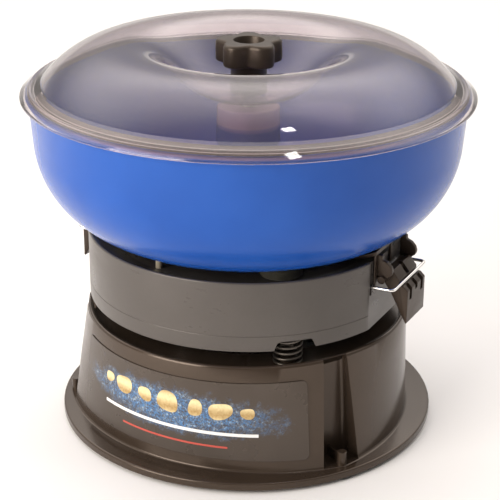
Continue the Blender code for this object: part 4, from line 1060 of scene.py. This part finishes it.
def build_handle(side, azimuth):
    groove = WIRE_RADIUS + 0.35 * MM
    pivot_u, pivot_w = PIVOT
    seat_u, seat_w = WIRE_SEAT
    outline = beside(PIVOT, (4.2, -12.0)) + beside((HANDLE_FACE, HANDLE_BOTTOM), (-1.0, 0.0), (0.0, 0.4))
    outline += [(HANDLE_FACE, seat_w - groove - 3.6 * MM), (seat_u + 2.0 * MM, seat_w - groove)]
    outline += arc(WIRE_SEAT, groove, 270, 150, 10)
    outline += beside(WIRE_SEAT, (-1.5, 2.3), (-2.3, 3.4)) + beside(PIVOT, (5.4, 5.6), (3.0, 5.0))
    outline += arc(PIVOT, 4.2 * MM, 80, 230, 14)
    outline = softened(outline, 0.7 * MM, 3, 16.0)
    handle = raw_object(f"lever_{side}", slab(outline, -HANDLE_HALF, HANDLE_HALF, 0.6 * MM, 3), LATCH)
    reach = EAR_OUTER + 1.5 * MM
    pin = moved(turned(rod(TRUNNION_RADIUS, -reach, reach, 40, 0.5 * MM), 90, "X"), (pivot_u, 0, pivot_w))
    add(handle, pin)
    front = seat_u + 8 * MM
    floor = seat_w + 2.0 * MM
    gap_between_tabs = [(front, floor), (front, pivot_w + 11.2 * MM)]
    gap_between_tabs += beside(PIVOT, (-1.0, 11.2), (-1.0, 4.2), (5.8, 4.2)) + [(pivot_u + 5.8 * MM, floor)]
    cuts = [slab(gap_between_tabs, -2.7 * MM, 2.7 * MM)]
    for v, depth in ((-11.3 * MM, 14 * MM), (0.0, 9 * MM), (11.3 * MM, 14 * MM)):
        low = (seat_u + 1.6 * MM, v - 2.4 * MM, seat_w - depth)
        high = (HANDLE_FACE + 3 * MM, v + 2.4 * MM, seat_w - 0.6 * MM)
        cuts.append(block(low, high))
    cut(handle, joined(cuts))
    turn_object(handle, azimuth)
    placed(handle, f"handle_{side}", [f"latch_handle_{side}"])


def build_bail(side, azimuth):
    """A U of bright round wire with two rounded bends."""
    corner = 4 * MM
    flat = [(BAIL_TIP, -BAIL_HALF), ((BAIL_TIP + WIRE_SEAT[0]) / 2, -BAIL_HALF)]
    flat += arc((WIRE_SEAT[0] - corner, corner - BAIL_HALF), corner, -90, 0, 12)
    flat += [(WIRE_SEAT[0], -BAIL_HALF / 2)]
    flat += [(u, -v) for u, v in reversed(flat)]
    path = []
    for u, v in flat:
        share = (WIRE_SEAT[0] - u) / (WIRE_SEAT[0] - BAIL_TIP)
        path.append((u, v, WIRE_SEAT[1] - 0.5 * MM * share))
    bail = raw_object(f"wire_bail_{side}", turned(tube(path, WIRE_RADIUS, 20), azimuth), CHROME)
    placed(bail, f"bail_{side}", [f"latch_bail_{side}"])


# ---- lid and knob
def dome(drop, rise_steps=30, fall_steps=48):
    """Dome from its foot over the crest and down into the middle recess, lowered by drop."""
    height = CREST_TOP - DOME_BASE
    reach = DOME_FOOT - CREST_RADIUS
    points = []
    for k in range(rise_steps + 1):
        turn = math.pi / 2 * k / rise_steps
        points.append((CREST_RADIUS + (reach - drop) * max(math.cos(turn), 0.0) ** 0.85,
                       DOME_BASE - drop / 2 + (height - drop / 2) * math.sin(turn) ** 1.9))
    for k in range(1, fall_steps + 1):
        share = k / fall_steps
        depth = (1 - math.cos(math.pi * share ** 1.4)) / 2
        points.append((CREST_RADIUS + (RECESS_RADIUS - CREST_RADIUS) * share,
                       CREST_TOP - drop - (CREST_TOP - RECESS_FLOOR) * depth))
    return points


def build_lid():
    over = beside((LID_RADIUS, SKIRT_BOTTOM), (-0.5, 0.0), (0.0, 0.5), (0.0, 1.4), (-0.4, 1.9))
    over += beside((LID_FLANGE_RADIUS, LID_FLANGE_TOP), (0.5, -0.4), (0.1, 0.0), (-0.6, 0.1), (-1.3, 0.0))
    slope = (DOME_BASE - LID_FLANGE_TOP) / (LID_FLANGE_RADIUS - DOME_FOOT)
    over += beside((DOME_FOOT, DOME_BASE), (1.4, -1.4 * slope), (0.5, -0.5 * slope))
    over += dome(0.0) + [(STUD_HOLE, RECESS_FLOOR)]
    under = [(STUD_HOLE, RECESS_FLOOR - LID_WALL)] + list(reversed(dome(LID_WALL)))
    under += [(LID_FLANGE_RADIUS - 1.2 * MM, LID_FLANGE_TOP - LID_WALL)]
    under += beside((LID_RADIUS, SKIRT_BOTTOM), (-2.6, 1.0), (-2.4, 0.0))
    lid = raw_object("clear_lid", lathe(over + under, 240), CLEAR)
    placed(lid, "lid", ["lid"], 60.0)


def build_gasket():
    """Soft ring whose sloping top carries fine concentric sealing ribs."""
    low = RIM_TOP + 0.3 * MM
    inner = DOME_FOOT + 0.5 * MM
    outer = LID_FLANGE_RADIUS + 0.4 * MM
    shoulder = (LID_FLANGE_RADIUS - 1.6 * MM, LID_FLANGE_TOP - LID_WALL - 0.3 * MM)
    ring = [(inner, low), (inner + 3 * MM, low), (outer - 1.2 * MM, shoulder[1] - 1.3 * MM)]
    for k in range(GASKET_RIBS):
        for step, depth in ((0.0, 0.0), (0.5, 0.0), (0.62, 0.5), (0.88, 0.5)):
            share = (k + step) / GASKET_RIBS
            height = shoulder[1] + GASKET_RISE * share - depth * MM
            ring.append((shoulder[0] + (inner - shoulder[0]) * share, height))
    ring.append((inner, shoulder[1] + GASKET_RISE))
    gasket = raw_object("seal_ring", lathe(ring, 240), GASKET)
    placed(gasket, "lid", ["lid_gasket"])


def build_knob():
    steps = 48 * LOBES
    middle = (LOBE_RADIUS + VALLEY_RADIUS) / 2
    swing = (LOBE_RADIUS - VALLEY_RADIUS) / 2

    def lobed(z, drawn_in):
        ring = []
        for k in range(steps):
            degrees = 360.0 * k / steps
            wave = math.cos(math.radians(LOBES * (degrees - 90)))
            full = middle + swing * (wave + 0.25 * (1 - wave * wave))
            ring.append(polar(full - drawn_in, degrees, z))
        return ring

    floor = KNOB_TOP - 12.5 * MM
    under = [(KNOB_BORE, KNOB_BOTTOM)] + beside((HUB_RADIUS, KNOB_BOTTOM), (-0.8, 0.0), (0.0, 0.8))
    under += beside((HUB_RADIUS, HEAD_BOTTOM), (0.0, -0.6), (0.6, 0.0))
    rings = circles(under, steps)
    lower_edge = 2.2 * MM
    upper_edge = 3.4 * MM
    for k in range(6):
        t = math.pi / 2 * k / 5
        drawn_in = lower_edge * (1 - math.sin(t)) + 0.2 * MM
        rings.append(lobed(HEAD_BOTTOM + lower_edge * (1 - math.cos(t)), drawn_in))
    rings.append(lobed(HEAD_BOTTOM + 9 * MM, 0.0))
    for k in range(9):
        t = math.pi / 2 * k / 8
        drawn_in = 0.3 * MM + upper_edge * (1 - math.cos(t))
        rings.append(lobed(KNOB_TOP - upper_edge + upper_edge * math.sin(t), drawn_in))
    recess = beside((KNOB_RECESS, KNOB_TOP), (1.6, 0.0), (0.5, -0.15), (0.0, -0.9))
    recess += beside((KNOB_RECESS, floor), (0.0, 0.8), (-0.8, 0.0)) + [(KNOB_BORE, floor)]
    rings += circles(recess, steps)
    knob = raw_object("star_knob", skin(rings, closed_along=True), KNOB)
    placed(knob, "knob", ["knob"], 45.0)


# ---- scene
def area_light(name, place, side, power, colour):
    data = bpy.data.lights.new(name, "AREA")
    data.size = side
    data.energy = power
    data.color = colour
    lamp = bpy.data.objects.new(name, data)
    lamp.location = place
    lamp.rotation_euler = (Vector(LIGHT_TARGET) - Vector(place)).to_track_quat("-Z", "Y").to_euler()
    bpy.context.scene.collection.objects.link(lamp)


def build_stage():
    floor = raw_object("floor", (circles([(FLOOR_RADIUS, 0.0)], 64)[0], [tuple(range(64))]))
    made = Nodes("floor_paint")
    paint = made.blend(made.cloud(3.0, 3.0), (0.84, 0.83, 0.82), (0.87, 0.86, 0.85))
    made.set(Base_Color=paint, Roughness=0.7)
    floor.data.materials.append(made.owner)
    for light in LIGHTS:
        area_light(*light)
    bpy.context.scene.view_settings.view_transform = "Standard"


def build_sky():
    """Bright overhead and at the rear, dark at the front, with a bright band at the horizon."""
    made = Nodes("studio", bpy.data.worlds)
    way = made.axes(made.source["Generated"])
    depth = made.scaled(way["Y"], FRONT_DARK, REAR_BRIGHT, -0.4, 0.4, "SMOOTHSTEP")
    height = made.scaled(way["Z"], LOW_SKY, HIGH_SKY, 0.22, 0.72, "SMOOTHSTEP")
    band = made.scaled(way["Z"], HORIZON, 0.0, 0.06, 0.2, "SMOOTHSTEP")
    glow = made.tree.nodes["Background"].inputs
    made.feed(glow["Color"], (*SKY_TINT, 1.0))
    made.feed(glow["Strength"], made.math("MAXIMUM", made.product(depth, height), band))
    bpy.context.scene.world = made.owner


def build_camera():
    """Near the front, slightly above, looking down."""
    data = bpy.data.cameras.new("camera")
    data.sensor_width = 36.0
    data.lens = CAMERA_LENS
    camera = bpy.data.objects.new("camera", data)
    tilt = Matrix.Rotation(math.radians(90.0 - CAMERA_DOWN), 4, "X")
    roll = Matrix.Rotation(math.radians(CAMERA_ROLL), 4, "Z")
    camera.matrix_world = Matrix.Translation(CAMERA_PLACE) @ tilt @ roll
    bpy.context.scene.collection.objects.link(camera)
    bpy.context.scene.camera = camera


build_stage()
build_sky()
build_camera()
finish_cad_nodes()
build_base()
build_label()
build_feet()
build_gland()
build_springs()
build_drum()
build_pads_and_pins()
build_bowl()
for side, azimuth in LATCH_AZIMUTHS.items():
    build_bracket(side, azimuth)
    build_handle(side, azimuth)
    build_bail(side, azimuth)
build_lid()
build_gasket()
build_knob()
